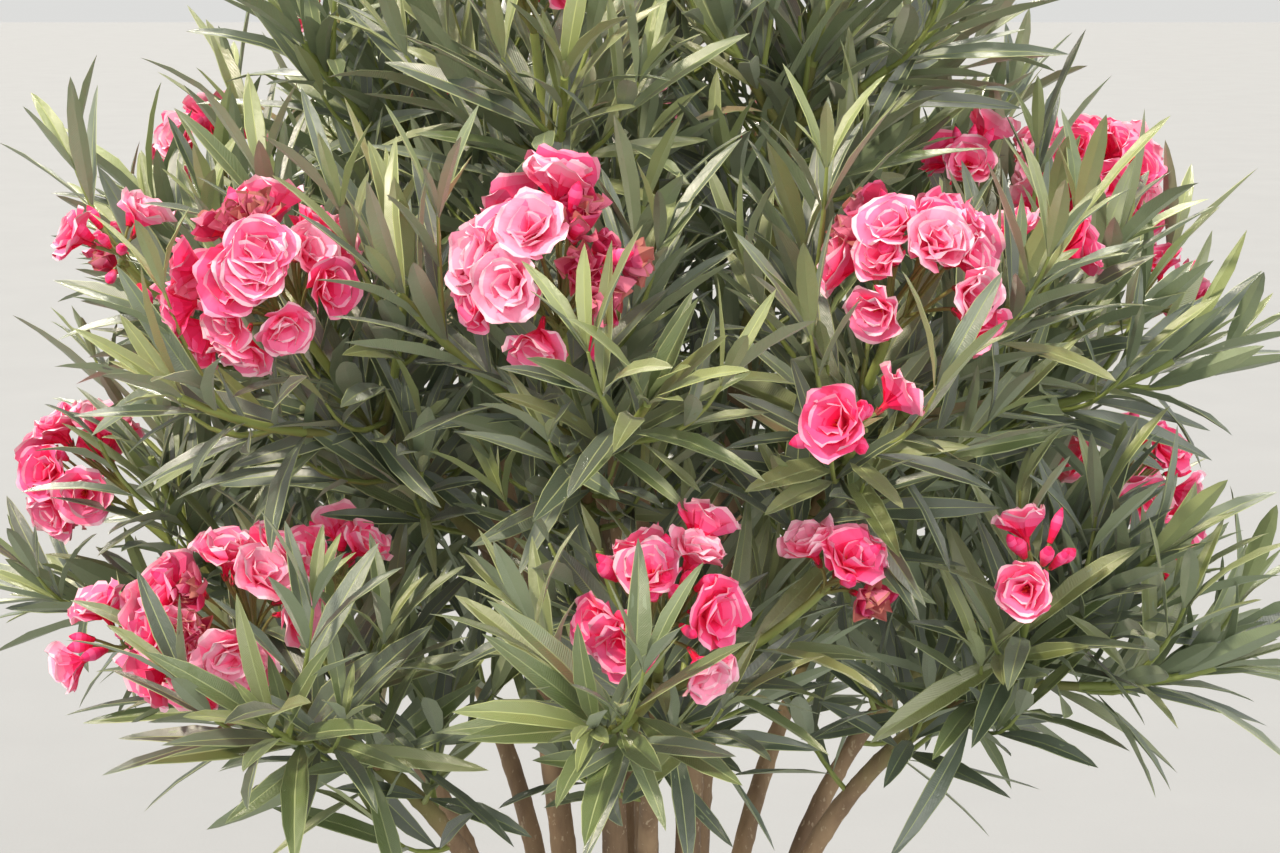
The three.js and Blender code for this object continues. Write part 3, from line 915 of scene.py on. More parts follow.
def leaf_from(mass, spot, axis, direction, whorl, lengths, tint, draw):
    """A leaf of the first of some lengths that has room, with its face turned up to the light."""
    skyward = np.cross(direction, np.cross(axis, direction)) + TO_LIGHT * UP
    across = unit(np.cross(direction, skyward))
    face = np.cross(across, direction)
    for length in lengths:
        arch = np.radians(draw(*LEAF_ARCHES))
        rib = leaf_points(spot, direction, face, length, arch, RIB_SPOTS)
        if not has_room(mass, rib, length, whorl):
            continue
        crowd.take(rib[RIB_FREE_FROM:], whorl)
        return {
            "root": spot,
            "along": direction,
            "face": face,
            "across": across,
            "length": length,
            "width": length * draw(*LEAF_SLENDER),
            "arch": arch,
            "fold": np.radians(draw(*LEAF_FOLDS)),
            "twist": np.radians(draw(-LEAF_TWIST, LEAF_TWIST)),
            "wave": draw(0, 2 * np.pi),
            "tint": tint,
        }
    return None


def leaf_tint(main, share, draw):
    """A leaf's tint: most often its spray's own, fresher near the tip, and now and then dry lower down."""
    tint = main if draw(0, 1) < MAIN_TINT_SHARE else BLADE_TINTS[int(draw(0, len(BLADE_TINTS)))]
    tint = FRESH if share > FRESH_FROM and draw(0, 1) < FRESH_SHARE else tint
    return DRY if share < DRY_BELOW and draw(0, 1) < DRY_SHARE else tint


def leaves_of(mass, way, kind, draw):
    """The whorls of leaves of a twig, and at its tip a tuft of young ones unless it flowers."""
    leaves = []
    length = way.span * leafy_end(mass, way)
    count = int(length * (1 - FIRST_WHORL[kind]) / WHORL_GAP)
    shares = np.linspace(FIRST_WHORL[kind], LAST_WHORL * length / way.span, max(count, 2))
    main = BLADE_TINTS[int(draw(0, len(BLADE_TINTS)))]
    for number, share in enumerate(shares):
        axis, spot = way.tangent(share), way.point(share)
        side, other = way.sides(share)
        tilt = np.radians(LEAF_TILTS[0] + (LEAF_TILTS[1] - LEAF_TILTS[0]) * share)
        for third in range(WHORL):
            turn = FIRST_TURN + WHORL_TURN * number + 360 / WHORL * third
            turn = np.radians(turn + draw(-LEAF_SCATTER, LEAF_SCATTER))
            slant = tilt + np.radians(draw(-LEAF_SCATTER, LEAF_SCATTER))
            outward = np.cos(turn) * side + np.sin(turn) * other
            direction = unit(np.cos(slant) * axis + np.sin(slant) * outward + LEAF_RISE * UP)
            size = draw(*LEAF_LENGTHS[kind]) * (1 - LEAF_SHORTER_AT_TIP * share**2)
            tint = leaf_tint(main, share, draw)
            lengths = [size * smaller for smaller in LEAF_TRIES]
            leaves.append(leaf_from(mass, spot, axis, direction, (id(way), number), lengths, tint, draw))
    axis = way.tangent(1.0)
    flowers = leafy_end(mass, way) < 1 or way in mass["flowering_shoots"]
    for k in range(0 if flowers else TUFT):
        turn = 360 / TUFT * k
        direction = splayed(axis, draw(*TUFT_TILTS), turn + draw(-TUFT_SCATTER, TUFT_SCATTER))
        tint = YOUNG if draw(0, 1) < YOUNG_SHARE else TUFT_TINTS[k % 2]
        length = draw(*TUFT_LENGTHS)
        leaves.append(leaf_from(mass, way.tip, axis, direction, (id(way), -1), [length], tint, draw))
    return [leaf for leaf in leaves if leaf]


def leaf_up(mass):
    """A mass's leaves. A finer twig that has room for only a few of them is left out with them."""
    mass["leaves"] = []
    draw = seeded(mass["seed"] + LEAF_SEED)
    for kind, ways in mass["ways"].items():
        grown = [(way, leaves_of(mass, way, kind, draw)) for way in ways]
        kept = [(way, leaves) for way, leaves in grown if kind != "twig" or len(leaves) >= LEAST_LEAVES]
        mass["ways"][kind] = [way for way, _ in kept]
        mass["leaves"] += [leaf for _, leaves in kept for leaf in leaves]


for mass in masses:
    leaf_up(mass)

# The twigs
# Thin round wood that carries the leaves. It is tan and smooth at the foot of each leading twig, olive
# further out, and green at the shoots' ends and on the finer twigs.
TAN_WOOD, OLIVE_WOOD, GREEN_WOOD = range(3)
TWIG_RODS = {
    "lead": {"sides": 8, "tints": [TAN_WOOD] * 4 + [OLIVE_WOOD] * 4 + [GREEN_WOOD] * 3},
    "shoot": {"sides": 7, "tints": [OLIVE_WOOD] * 3 + [GREEN_WOOD] * 5},
    "twig": {"sides": 6, "tints": [GREEN_WOOD] * 6},
}


def rods(centres, radii, sides):
    """The corners of closed round rods, from the centres and radii of their rings."""
    along = unit(np.gradient(centres, axis=1))
    whole = unit(centres[:, -1] - centres[:, 0])
    side = unit(np.cross(off_axis(whole)[:, None], along))
    other = np.cross(side, along)
    thick = np.repeat(radii[..., None], sides, axis=-1)
    return ringed(centres, side, other, thick, centres[:, [0, -1]])


def add_rods(heap, centres, radii, sides, ring_tints):
    """Rods of like rings added to a heap, with a tint for each of their rings but the last."""
    rings = centres.shape[1]
    tints = np.broadcast_to(ring_tints, (len(centres), rings - 1))
    skin = np.repeat(tints, sides, axis=1)
    ends = np.tile(np.stack((tints[:, 0], tints[:, -1]), axis=1), (1, sides))
    faces = rod_faces(rings, sides)
    heap.add(rods(centres, radii, sides), faces, np.concatenate((skin, ends), axis=1))


wood_looks = [
    speckled("tan_twig", "8f7653", 0.62, 0.0006, 130.0, 0.4),
    speckled("olive_twig", "83854d", 0.5, 0.0005, 130.0),
    speckled("green_twig", "93a05a", 0.44, 0.0004, 130.0),
]
twigs = Heap()
for kind, rod in TWIG_RODS.items():
    centres, radii = [], []
    for mass in masses:
        for way in mass["ways"][kind]:
            shares = np.linspace(0, leafy_end(mass, way), len(rod["tints"]) + 1)
            centres.append(way.point(shares))
            radii.append(way.radius(shares))
    add_rods(twigs, np.array(centres), np.array(radii), rod["sides"], rod["tints"])
foliage_nodes = [f"foliage_{mass['place']}" for mass in masses]
twig_piece = placed("twigs", twigs.mesh("twigs", np.radians(60.0)), wood_looks)
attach(twig_piece, "root")
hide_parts(*foliage_nodes)

# The leaves
# Leathery blades, dark grey-green above with a pale rib and margins, paler below, folded a little along
# the rib and arching back. Young ones are brighter.
RIB_SHARE = 0.05
MARGIN_SHARE = 0.92
LEAF_STATIONS = np.array((0.05, 0.25, 0.50, 0.75, 0.92))
LEAF_OUTLINE = np.array((0.16, 0.76, 1.0, 0.77, 0.34))
LEAF_SIDES = np.array((-MARGIN_SHARE, -RIB_SHARE, RIB_SHARE, MARGIN_SHARE, 1.0, 0.0, -1.0))
LEAF_DEPTHS = np.array((0.0, 0.0002, 0.0002, 0.0, 0.0005, 0.0014, 0.0005))
LEAF_WAVE = 0.0009
LEAF_WAVES = 9.0
EDGE_LAG = 1.5
VEINS = 70.0
VEIN_SLANT = 12.0
LEAF_FINISH = {"IOR": 1.85, "Sheen Weight": 0.26, "Sheen Roughness": 0.35}


def vectors_of(rows, *keys):
    """Vectors of each row, as arrays that go with rows, stations and columns."""
    return [np.array([row[key] for row in rows])[:, None, None] for key in keys]


def numbers_of(rows, *keys):
    """Numbers of each row, as arrays that go with rows, stations, columns and axes."""
    return [values[..., None] for values in vectors_of(rows, *keys)]


def add_leaves(heap, rows):
    """Leaves as closed blades. Each is a rod bent along its rib, with seven corners to a ring: the two
    sides of the rib, where the pale margins begin, the two edges, and the keel below."""
    ribs = [np.array([row[key] for row in rows]) for key in ("root", "along", "face", "length", "arch")]
    along, face, across = vectors_of(rows, "along", "face", "across")
    width, arch, fold, twist, wave = numbers_of(rows, "width", "arch", "fold", "twist", "wave")
    stations = LEAF_STATIONS[None, :, None, None]
    sides = LEAF_SIDES[None, None, :, None]
    outline = LEAF_OUTLINE[None, :, None, None]
    bent = arch * stations
    up_face = np.sin(bent) * along + np.cos(bent) * face
    turn = twist * (stations - LEAF_STATIONS[0])
    sideways = np.cos(turn) * across + np.sin(turn) * up_face
    lift = np.cos(turn) * up_face - np.sin(turn) * across
    half = 0.5 * width * outline
    rise = half * np.abs(sides) * np.tan(fold) - outline * LEAF_DEPTHS[None, None, :, None]
    ripple = np.sin(LEAF_WAVES * stations + wave + EDGE_LAG * np.sign(sides))
    rise = rise + LEAF_WAVE * outline * sides**2 * ripple
    skin = leaf_points(*ribs, LEAF_STATIONS)[:, :, None] + half * sides * sideways + rise * lift
    ends = leaf_points(*ribs, np.array((0.0, 1.0)))
    places = np.concatenate((skin.reshape(len(rows), -1, 3), ends), axis=1)
    blade = np.array([row["tint"] for row in rows])
    rib = np.where(blade >= FRESH, YOUNG_RIB, RIB)
    under = np.where(blade >= FRESH, YOUNG_UNDER, UNDER)
    by_side = np.stack((blade, rib, blade, rib, under, under, rib), axis=1)
    rings = len(LEAF_STATIONS)
    tints = np.concatenate((np.tile(by_side, (1, rings - 1)), np.repeat(by_side, 2, axis=1)), axis=1)
    spread = np.stack(np.meshgrid(LEAF_SIDES / 2 + 0.5, LEAF_STATIONS), axis=-1).reshape(-1, 2)
    spread = np.concatenate((spread, ((0.5, 0.0), (0.5, 1.0))))
    heap.add(places, rod_faces(rings, len(LEAF_SIDES)), tints, spread)


def leaf_look(name, base, roughness):
    """A leathery blade in one plain colour, with fine veins slanting from the rib."""
    look = Look(name, base, specular=1.0, other_sockets=LEAF_FINISH)
    spread = look.node("ShaderNodeUVMap", {"uv_map": "spread"})
    across = look.node("ShaderNodeSeparateXYZ", sockets={0: spread})
    along = look.node("ShaderNodeSeparateXYZ", sockets={0: spread}, output=1)
    from_rib = look.node("ShaderNodeMath", {"operation": "ABSOLUTE"}, {0: across - 0.5})
    slant = along * VEINS - from_rib * VEIN_SLANT
    veins = look.node("ShaderNodeMath", {"operation": "SINE"}, {0: slant * (2 * np.pi)}) * 0.5 + 0.5
    bloom = look.between(look.cloud(45.0, 5), 0.3, 0.7)
    look.plug(look.shader["Roughness"], bloom * 0.16 + (roughness - 0.08))
    look.raise_by(veins * 0.3 + look.cloud(260.0, 3) * 0.7, 0.0005)
    return look


# The deep blade tints stand partly for painted shade and the olive ones partly for painted light shining
# through the leaves; the rest is the leaves' own green.
leaf_looks = [
    leaf_look("deep_leaf", "41523a", 0.37),
    leaf_look("dusky_leaf", "4f614b", 0.37),
    leaf_look("grey_leaf", "67775d", 0.38),
    leaf_look("moss_leaf", "667941", 0.39),
    leaf_look("olive_leaf", "7f8a4a", 0.40),
    leaf_look("dry_leaf", "a08a5c", 0.55),
    leaf_look("fresh_leaf", "8d9b56", 0.40),
    leaf_look("young_leaf", "a1ad64", 0.40),
    speckled("leaf_rib", "a3ae7e", 0.5, 0.0002, 300.0),
    speckled("young_leaf_rib", "b8c284", 0.5, 0.0002, 300.0),
    leaf_look("leaf_underside", "84966e", 0.6),
    leaf_look("young_leaf_underside", "98a866", 0.58),
]
LEAF_PIECES = {
    "leaves_upper": (0, 6),
    "leaves_middle_back": (6, 11),
    "leaves_middle_front": (11, 16),
    "leaves_lower": (16, 24),
}
for name, (first, last) in LEAF_PIECES.items():
    heap = Heap()
    add_leaves(heap, [leaf for mass in masses[first:last] for leaf in mass["leaves"]])
    piece = placed(name, heap.mesh(name, np.radians(14.0)), leaf_looks)
    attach(piece, "root")
    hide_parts(*foliage_nodes[first:last])

# The blossom
# Domed heads of double blooms at the ends of the leading twigs, and a few blooms at the ends of some
# shoots. A bloom has three whorls of broad thin petals, ruffled, paler at the edge and deep rose at the
# throat: partly their own colour, partly painted shade deep in the throat and painted light on the edge.
# Spent ones are crumpled and dull.
FULL = {"blooms": (20, 24), "spent": 0.12, "buds": (2, 5), "down": 0.36, "seat": 0.0365}
PARTLY_SPENT = {"blooms": (18, 22), "spent": 0.40, "buds": (3, 6), "down": 0.25, "seat": 0.0365}
LOOSE = {"blooms": (13, 16), "spent": 0.2, "buds": (5, 8), "down": 0.12, "seat": 0.033}
BUDDING = {"blooms": (7, 10), "spent": 0.05, "buds": (15, 20), "down": -0.05, "seat": 0.030}
MOSTLY_SPENT = {"blooms": (16, 20), "spent": 0.6, "buds": (1, 3), "down": 0.20, "seat": 0.034}
SIDE = {"blooms": (2, 5), "spent": 0.15, "buds": (4, 8), "down": -0.3, "seat": 0.016}
HEAD_KINDS = (FULL, PARTLY_SPENT, LOOSE, FULL, BUDDING, MOSTLY_SPENT)
HEAD_SEED = 500
SHOOT_NECK = 0.94
SEAT_SCATTER = 0.0055
FACING_SCATTER = 0.16
LOBE_DEPTH = 0.010
LOBE_FINENESS = 1.7
HEAD_STRETCH = 0.012
BLOOM_SIZES = (0.88, 1.08)
BLOOM_OPENINGS = (0.72, 1.0)
SPENT_SIZES = (0.9, 1.15)
WHORLS = {
    "outer": {"count": 5, "long": (0.0280, 0.0320), "wide": (1.05, 1.25), "opens": (24, 92), "cup": 0.10},
    "middle": {"count": 4, "long": (0.0245, 0.0285), "wide": (1.10, 1.32), "opens": (12, 62), "cup": 0.28},
    "inner": {"count": 3, "long": (0.0195, 0.0230), "wide": (1.10, 1.35), "opens": (0, 38), "cup": 0.45},
}
SPENT_PETAL = {"long": (0.017, 0.025), "wide": (0.6, 0.9), "cup": 0.5}
SPENT_WHORLS = (
    {"count": 5, "opens": (74, 20), **SPENT_PETAL},
    {"count": 5, "opens": (44, 4), **SPENT_PETAL},
    {"count": 3, "opens": (16, -14), **SPENT_PETAL},
)
PETAL_COLUMNS = {"outer": 6, "middle": 5, "inner": 4, "spent": 4}
PETAL_STEPS = 20
PETAL_ROWS = np.array((0, 6, 12, 18, 20))
PETAL_FOOT = 0.16
PETAL_WIDEST = 0.72
PETAL_TIP = 0.70
PETAL_ROUNDING = 0.24
PETAL_BEND = 0.8
PETAL_SWELL = 1.4
PETAL_THICKNESS = 0.0004
PETAL_SPREAD = 0.12
OPENS_SCATTER = ((-6, 6), (-16, 14))
CUP_SCATTER = 0.12
SKEWS = (0.10, 0.26)
WAVES = (0.8, 1.5)
RUFFLES = {"outer": 0.0032, "middle": 0.0030, "inner": 0.0024, "spent": 0.0048}
RUFFLE_SHARES = (0.6, 1.3)
RUFFLE_GROWTH = 1.6
FINE_RUFFLE = {"depth": 0.4, "across": 2.1, "along": 3, "phases": 2.3}
THROAT_RADIUS = 0.0022
TUBE_LENGTH = 0.0108
SPENT_TUBE_LENGTH = 0.0084
TUBE_OVERLAP = 0.001
SPENT_DROOP = 0.25
SPENT_TUBE_SIZE = 0.8
THREADS = {"count": 5, "tilts": (8, 30), "scatter": 15, "long": (0.007, 0.011)}
SEPALS = {"count": 5, "tilts": (14, 30), "long": (0.0065, 0.0085), "sunk": 0.001}
SPENT_SEPALS = 0.9
BUD = {"long": (0.018, 0.027), "radii": (0.0042, 0.0060), "sepals": 0.85, "out": (0.001, 0.014)}
BUD_RISES = (0.4, 1.2)
BUD_SCATTER = 0.5
SPENT_RISE = 0.4
LOBE_SEEDS = 50
FORKS = {"count": 4, "scatter": 20, "tilt": 55, "rise": 0.9, "out": (0.45, 0.65), "arch": 0.003}
FORK_RADII = (0.0024, 0.0018)
STALK_ARCH = 0.004
BLOOM_STALK = 0.0014
BUD_STALK = 0.0012
PALEST, PALE, LIGHT, ROSE, PINK, DEEP_PINK, CRIMSON = range(7)
WINE, MAUVE, DUSTY, BROWNED, SEPAL, STALK, THREAD = range(7, 14)
# Runs of tones from a petal's foot to its edge: the deep throat tones are partly painted shade and the pale
# edge tones partly painted light, the rest the petals' own colour.
FRESH_TONES_WITH_PAINTED_SHADE_AND_LIGHT = ((DEEP_PINK, ROSE, LIGHT, PALEST), (PINK, LIGHT, PALE, PALEST), (DEEP_PINK, PINK, ROSE, PALE))
SPENT_TONES = (
    (WINE, MAUVE, DUSTY, DUSTY),
    (CRIMSON, WINE, WINE, MAUVE),
    (WINE, MAUVE, BROWNED, BROWNED),
    (MAUVE, DUSTY, DUSTY, BROWNED),
)

petal_rows = {kind: [] for kind in PETAL_COLUMNS}
stalks = []
small_rows = {"tube": [], "bud": [], "sepal": [], "thread": []}


def add_whorl(kind, whorl, base, axis, size, tones, chance, opening=1.0):
    """A whorl of petals round an axis, each in one of some runs of tones from its foot to its edge. Each
    overlaps the next, as the blades of a pinwheel do."""
    side, other = square_to(axis)
    first = chance.uniform(0, 2 * np.pi)
    for k in range(whorl["count"]):
        turn = first + 2 * np.pi * (k + chance.uniform(-PETAL_SPREAD, PETAL_SPREAD)) / whorl["count"]
        length = size * chance.uniform(*whorl["long"])
        petal_rows[kind].append({
            "root": base,
            "axis": axis,
            "outward": np.cos(turn) * side + np.sin(turn) * other,
            "length": length,
            "width": length * chance.uniform(*whorl["wide"]),
            "from": np.radians(whorl["opens"][0] + chance.uniform(*OPENS_SCATTER[0])) * opening,
            "to": np.radians(whorl["opens"][1] + chance.uniform(*OPENS_SCATTER[1])) * opening,
            "cup": whorl["cup"] + chance.uniform(-CUP_SCATTER, CUP_SCATTER),
            "skew": chance.uniform(*SKEWS),
            "ruffle": size * RUFFLES[kind] * chance.uniform(*RUFFLE_SHARES),
            "waves": chance.uniform(*WAVES),
            "phase": chance.uniform(0, 2 * np.pi),
            "tones": tones[int(chance.integers(0, len(tones)))],
        })


def add_sepals(seat, axis, size, chance):
    """The sepals at the foot of a bloom or bud."""
    foot = seat - axis * SEPALS["sunk"]
    for k in range(SEPALS["count"]):
        way = splayed(axis, chance.uniform(*SEPALS["tilts"]), 360 / SEPALS["count"] * k)
        small_rows["sepal"].append((foot, foot + way * size * chance.uniform(*SEPALS["long"]), 1.0))


def add_bloom(seat, axis, size, opening, chance):
    """One double bloom on its tube, with threads in its throat."""
    tones = FRESH_TONES_WITH_PAINTED_SHADE_AND_LIGHT[int(chance.integers(0, len(FRESH_TONES_WITH_PAINTED_SHADE_AND_LIGHT)))]
    base = seat + axis * TUBE_LENGTH * size
    for kind, whorl in WHORLS.items():
        add_whorl(kind, whorl, base, axis, size, [tones], chance, opening)
    small_rows["tube"].append((seat, base + axis * TUBE_OVERLAP, size))
    for k in range(THREADS["count"]):
        tilt = chance.uniform(*THREADS["tilts"])
        turn = 360 / THREADS["count"] * k + chance.uniform(-THREADS["scatter"], THREADS["scatter"])
        thread = splayed(axis, tilt, turn) * size * chance.uniform(*THREADS["long"])
        small_rows["thread"].append((base, base + thread, 1.0))
    add_sepals(seat, axis, size, chance)


def add_spent_bloom(seat, axis, size, chance):
    """A spent bloom: its petals are crumpled together and droop."""
    base = seat + axis * SPENT_TUBE_LENGTH
    droop = unit(axis + chance.normal(0, SPENT_DROOP, 3))
    for whorl in SPENT_WHORLS:
        add_whorl("spent", whorl, base, droop, size, SPENT_TONES, chance)
    small_rows["tube"].append((seat, base, SPENT_TUBE_SIZE))
    add_sepals(seat, axis, size * SPENT_SEPALS, chance)


def add_bud(seat, axis, chance):
    tip = seat + axis * chance.uniform(*BUD["long"])
    small_rows["bud"].append((seat, tip, chance.uniform(*BUD["radii"])))
    add_sepals(seat, axis, BUD["sepals"], chance)


def spiral_facings(rising, count, down, chance):
    """The ways that a head's blooms face: an even spiral from its top to past its middle, disturbed."""
    side, other = square_to(rising)
    turn = chance.uniform(0, 2 * np.pi)
    facings = []
    for k in range(count):
        level = 1 - (k + 0.5) / count * (1 + down)
        out = np.sqrt(max(0.0, 1 - level**2))
        around = turn + np.radians(GOLDEN_TURN) * k
        facing = level * rising + out * (np.cos(around) * side + np.sin(around) * other)
        facings.append(unit(facing + chance.normal(0, FACING_SCATTER, 3)))
    return facings


def grow_head(way, neck_share, kind, chance):
    """A head of blossom round the end of a twig, on stalks that fork to each bloom and bud. Its spent
    blooms lie on one side, and it is lobed and a little longer one way."""
    centre, rising = way.tip, way.tangent(1.0)
    side, other = square_to(rising)
    count = int(chance.integers(*kind["blooms"]))
    spent_side = unit(chance.normal(0, 1, 3) + rising * SPENT_RISE)
    long_side = unit(side * chance.normal() + other * chance.normal())
    lobes = Vector((chance.uniform(0, LOBE_SEEDS), 0, 0))
    neck = way.point(neck_share)
    gap, scatter = 360 / FORKS["count"], FORKS["scatter"]
    turns = [gap * k + chance.uniform(-scatter, scatter) for k in range(FORKS["count"])]
    forks = []
    for turn in turns:
        away = unit(rising * FORKS["rise"] + splayed(rising, FORKS["tilt"], turn))
        forks.append(neck + away * kind["seat"] * chance.uniform(*FORKS["out"]))
        stalks.append(Way(neck, (neck + forks[-1]) / 2 + rising * FORKS["arch"], forks[-1], FORK_RADII))

    def seat_at(facing, out, radius):
        """A seat out from the centre, and the stalk that leads to it from the nearest fork."""
        seat = centre + facing * out
        fork = min(forks, key=lambda spot: np.linalg.norm(spot - seat))
        stalks.append(Way(fork, (fork + seat) / 2 + rising * STALK_ARCH, seat, (radius, radius)))
        return seat

    facings = spiral_facings(rising, count, kind["down"], chance)
    order = np.argsort([-facing @ spent_side for facing in facings])
    spent = set(order[: round(kind["spent"] * count)].tolist())
    for k, facing in enumerate(facings):
        out = kind["seat"] + chance.uniform(-SEAT_SCATTER, SEAT_SCATTER)
        out += LOBE_DEPTH * noise.noise(facing * LOBE_FINENESS + lobes)
        out += HEAD_STRETCH * (abs(facing @ long_side) - 0.5)
        seat = seat_at(facing, out, BLOOM_STALK)
        if k in spent:
            add_spent_bloom(seat, facing, chance.uniform(*SPENT_SIZES), chance)
        else:
            add_bloom(seat, facing, chance.uniform(*BLOOM_SIZES), chance.uniform(*BLOOM_OPENINGS), chance)
    for _ in range(int(chance.integers(*kind["buds"]))):
        facing = unit(rising * chance.uniform(*BUD_RISES) + chance.normal(0, BUD_SCATTER, 3))
        out = kind["seat"] + chance.uniform(*BUD["out"])
        add_bud(seat_at(facing, out, BUD_STALK), facing, chance)


for mass in masses:
    chance = np.random.default_rng(HEAD_SEED + mass["number"])
    if mass["flowers"]:
        grow_head(mass["lead"], LEAD_NECK, HEAD_KINDS[mass["number"] % len(HEAD_KINDS)], chance)
    for shoot in mass["flowering_shoots"]:
        grow_head(shoot, SHOOT_NECK, SIDE, chance)


def sheet_faces(rows, columns):
    """The faces of a thin closed sheet: its upper side, and a lower side that shares its edge."""
    upper = np.arange((rows + 1) * (columns + 1)).reshape(rows + 1, columns + 1)
    lower = upper.copy()
    lower[1:-1, 1:-1] = upper.size + np.arange((rows - 1) * (columns - 1)).reshape(rows - 1, -1)
    sides = []
    for side, step in ((upper, 1), (lower, -1)):
        quads = np.stack((side[:-1, :-1], side[:-1, 1:], side[1:, 1:], side[1:, :-1]), axis=-1)
        sides.append(quads.reshape(-1, 4)[:, ::step])
    return np.concatenate(sides)


def sheet_places(upper, lift, thickness):
    """The corners of thin closed sheets, from their upper sides and the way that those face."""
    lower = (upper - lift * thickness)[:, 1:-1, 1:-1]
    many = len(upper)
    return np.concatenate((upper.reshape(many, -1, 3), lower.reshape(many, -1, 3)), axis=1)


def add_petals(heap, kind):
    """Petals as thin closed sheets. Each runs out from the throat and opens as it goes. It is cupped
    and tilted across its width, rounded at its corners, and ruffled more and more towards its edge."""
    rows, across = petal_rows[kind], PETAL_COLUMNS[kind]
    root, axis, outward = vectors_of(rows, "root", "axis", "outward")
    length, width, start, end = numbers_of(rows, "length", "width", "from", "to")
    cup, skew, ruffle, waves, phase = numbers_of(rows, "cup", "skew", "ruffle", "waves", "phase")
    stations = np.linspace(0, 1, PETAL_STEPS + 1)
    opened = start + (end - start) * stations[None, :, None, None] ** PETAL_BEND
    ahead = np.cos(opened) * axis + np.sin(opened) * outward
    steps = (ahead[:, 1:] + ahead[:, :-1]) / 2 * length / PETAL_STEPS
    line = np.concatenate((np.zeros_like(steps[:, :1]), np.cumsum(steps, axis=1)), axis=1)[:, PETAL_ROWS]
    ahead, opened, stations = ahead[:, PETAL_ROWS], opened[:, PETAL_ROWS], stations[PETAL_ROWS]
    along = stations[None, :, None, None]
    lift = np.sin(opened) * axis - np.cos(opened) * outward
    sideways = np.cross(outward, axis)
    columns = np.linspace(-1, 1, across + 1)[None, None, :, None]
    swell = np.sin(np.pi / 2 * np.minimum(1, along / PETAL_WIDEST)) ** PETAL_SWELL
    swell = PETAL_FOOT + (1 - PETAL_FOOT) * swell
    past_widest = np.clip((along - PETAL_WIDEST) / (1 - PETAL_WIDEST), 0, 1)
    half = width / 2 * swell * (1 - (1 - PETAL_TIP) * past_widest**2)
    fine = np.pi * FINE_RUFFLE["across"] * columns + FINE_RUFFLE["along"] * along
    wave = np.sin(np.pi * waves * columns + phase)
    wave = wave + FINE_RUFFLE["depth"] * np.sin(fine + FINE_RUFFLE["phases"] * phase)
    height = half * (cup * columns**2 + skew * columns) + ruffle * along**RUFFLE_GROWTH * wave
    rounding = length * PETAL_ROUNDING * columns**2 * along**2
    throat = root + outward * THROAT_RADIUS
    upper = throat + line - ahead * rounding + sideways * half * columns + lift * height
    tints = np.repeat(np.array([row["tones"] for row in rows]), across, axis=1)
    spread = np.stack(np.meshgrid(columns.ravel() / 2 + 0.5, stations), axis=-1)
    spread = np.concatenate((spread.reshape(-1, 2), spread[1:-1, 1:-1].reshape(-1, 2)))
    faces = sheet_faces(len(PETAL_ROWS) - 1, across)
    places = sheet_places(upper, lift + np.zeros_like(upper), PETAL_THICKNESS)
    heap.add(places, faces, np.tile(tints, (1, 2)), spread)


# Sheen, and an emission that is a painted glow standing for the light that soaks through the petals.
PETAL_SHEEN_AND_PAINTED_GLOW = {
    "Sheen Weight": 0.1,
    "Sheen Roughness": 0.4,
    "Emission Color": colour("f20a48"),
    "Emission Strength": 0.06,
}
PETAL_ROUGHNESS = (0.52, 0.72)


def petal_look(name, base):
    """A thin soft petal in one plain colour, with faint veins that run along it. A faint glow stands for
    the light that soaks through it."""
    look = Look(name, base, specular=0.35, other_sockets=PETAL_SHEEN_AND_PAINTED_GLOW)
    spread = look.node("ShaderNodeUVMap", {"uv_map": "spread"})
    stretched = look.node("ShaderNodeMapping", sockets={"Vector": spread, "Scale": (26.0, 2.2, 1.0)})
    veins = look.node("ShaderNodeTexNoise", sockets={"Vector": stretched, "Scale": 1.0, "Detail": 3.0})
    crumple = look.cloud(120.0, 3)
    look.plug(look.shader["Roughness"], look.between(crumple, 0.3, 0.7, *PETAL_ROUGHNESS))
    look.raise_by(veins * 0.6 + crumple * 0.4, 0.0005)
    return look


PETAL_COLOURS = {
    "palest": "fdd0e1",
    "pale": "fdaacb",
    "light": "fc83b3",
    "rose": "fa609b",
    "pink": "f5367a",
    "deep_pink": "ec165a",
    "crimson": "d80e3e",
    "wine": "b2204e",
    "mauve": "c4507c",
    "dusty": "da7c98",
    "browned": "b27268",
}
bloom_looks = [
    *(petal_look(f"{name}_petal", base) for name, base in PETAL_COLOURS.items()),
    speckled("sepal", "8a3a2e", 0.55, 0.0003, 200.0),
    speckled("flower_stalk", "80834a", 0.5, 0.0003, 160.0),
    speckled("throat_thread", "e0603c", 0.5, 0.0003, 200.0),
]
BLOOM_PIECES = {"blooms_outer": ("outer",), "blooms_inner": ("middle", "inner"), "spent_blooms": ("spent",)}
flowering = [mass for mass in masses if mass["flowers"] or mass["flowering_shoots"]]
flowering_nodes = [f"foliage_{mass['place']}" for mass in flowering]
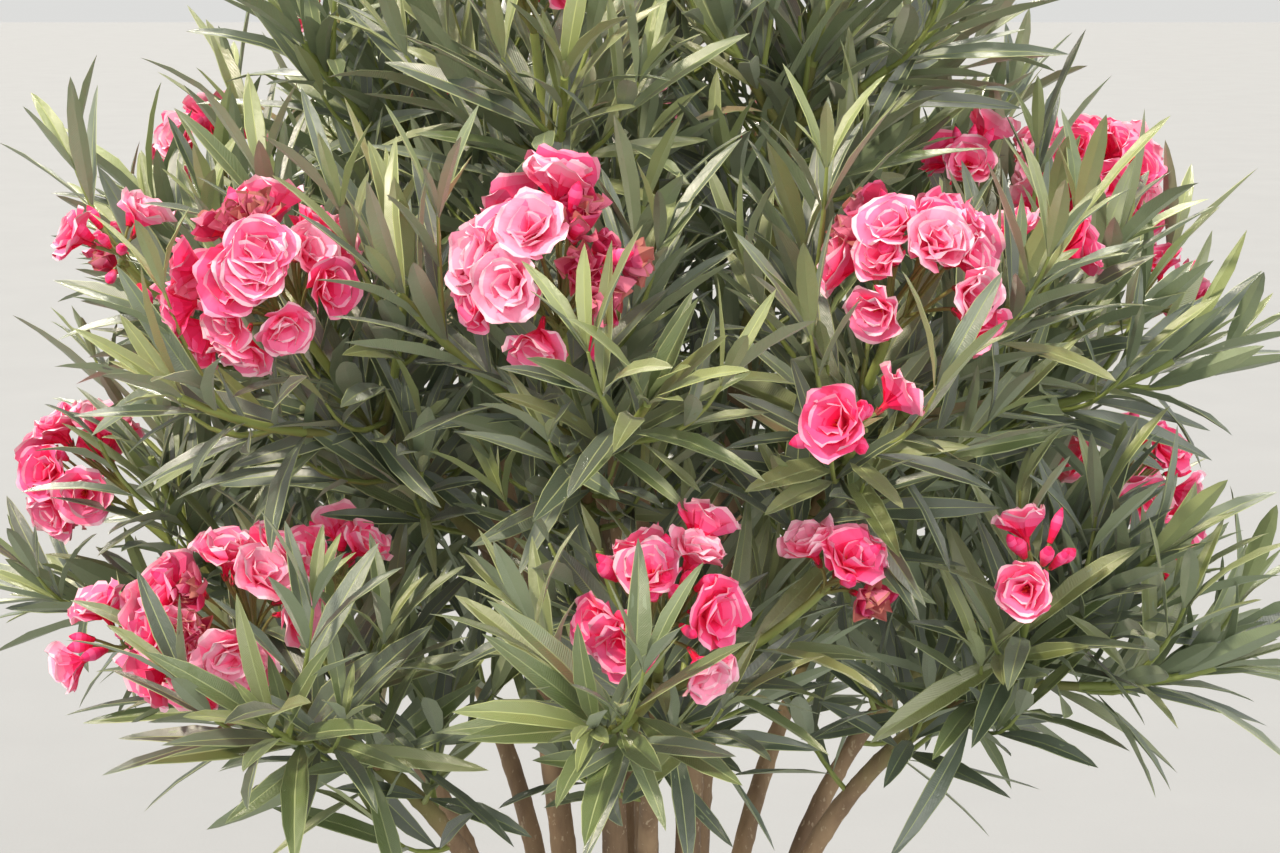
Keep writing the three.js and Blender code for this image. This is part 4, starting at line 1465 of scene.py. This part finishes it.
for name, kinds in BLOOM_PIECES.items():
    heap = Heap()
    for kind in kinds:
        add_petals(heap, kind)
    piece = placed(name, heap.mesh(name, np.radians(65.0)), bloom_looks)
    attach(piece, "root")
    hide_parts(*flowering_nodes)

# The flower stalks and buds
# Four olive stalks fork from the neck of each head, and thinner ones from those to every bloom and bud.
# A bloom stands on a narrow tube, red like the foot of the pointed buds, with small dark sepals round it
# and orange threads in its throat.
STALK_RINGS = 5
STALK_SIDES = 5
SMALL_PARTS = {
    "tube": {
        "rings": (0.0, 0.4, 0.75, 1.0),
        "radii": (0.0016, 0.0021, 0.0029, 0.0036),
        "sides": 6,
        "tints": [DEEP_PINK, CRIMSON, CRIMSON],
    },
    # A bud's bands run crimson at its foot and paler round its upper bulge: partly its own colour, partly a
    # painted highlight.
    "bud": {
        "rings": (0.0, 0.16, 0.36, 0.56, 0.76, 0.92, 1.0),
        "radii": (0.50, 0.62, 0.86, 1.0, 0.78, 0.36, 0.08),
        "sides": 7,
        "tints": [CRIMSON, DEEP_PINK, PINK, ROSE, PINK, DEEP_PINK],
    },
    "thread": {"rings": (0.0, 0.5, 1.0), "radii": (0.0006, 0.0009, 0.0004), "sides": 4, "tints": THREAD},
    "sepal": {"rings": (0.0, 0.4, 1.0), "radii": (0.0011, 0.0013, 0.0002), "sides": 4, "tints": SEPAL},
}
stalks_and_buds = Heap()
shares = np.linspace(0, 1, STALK_RINGS)
centres = np.array([stalk.point(shares) for stalk in stalks])
radii = np.array([stalk.radius(shares) for stalk in stalks])
add_rods(stalks_and_buds, centres, radii, STALK_SIDES, STALK)
for name, part in SMALL_PARTS.items():
    starts, ends, sizes = (np.array([row[i] for row in small_rows[name]]) for i in range(3))
    centres = starts[:, None] + (ends - starts)[:, None] * np.array(part["rings"])[:, None]
    add_rods(stalks_and_buds, centres, sizes[:, None] * part["radii"], part["sides"], part["tints"])
piece = placed("stalks_and_buds", stalks_and_buds.mesh("stalks_and_buds", np.radians(65.0)), bloom_looks)
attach(piece, "root")
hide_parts(*flowering_nodes)

sizes = {"cad": cad_box, "visual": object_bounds()}
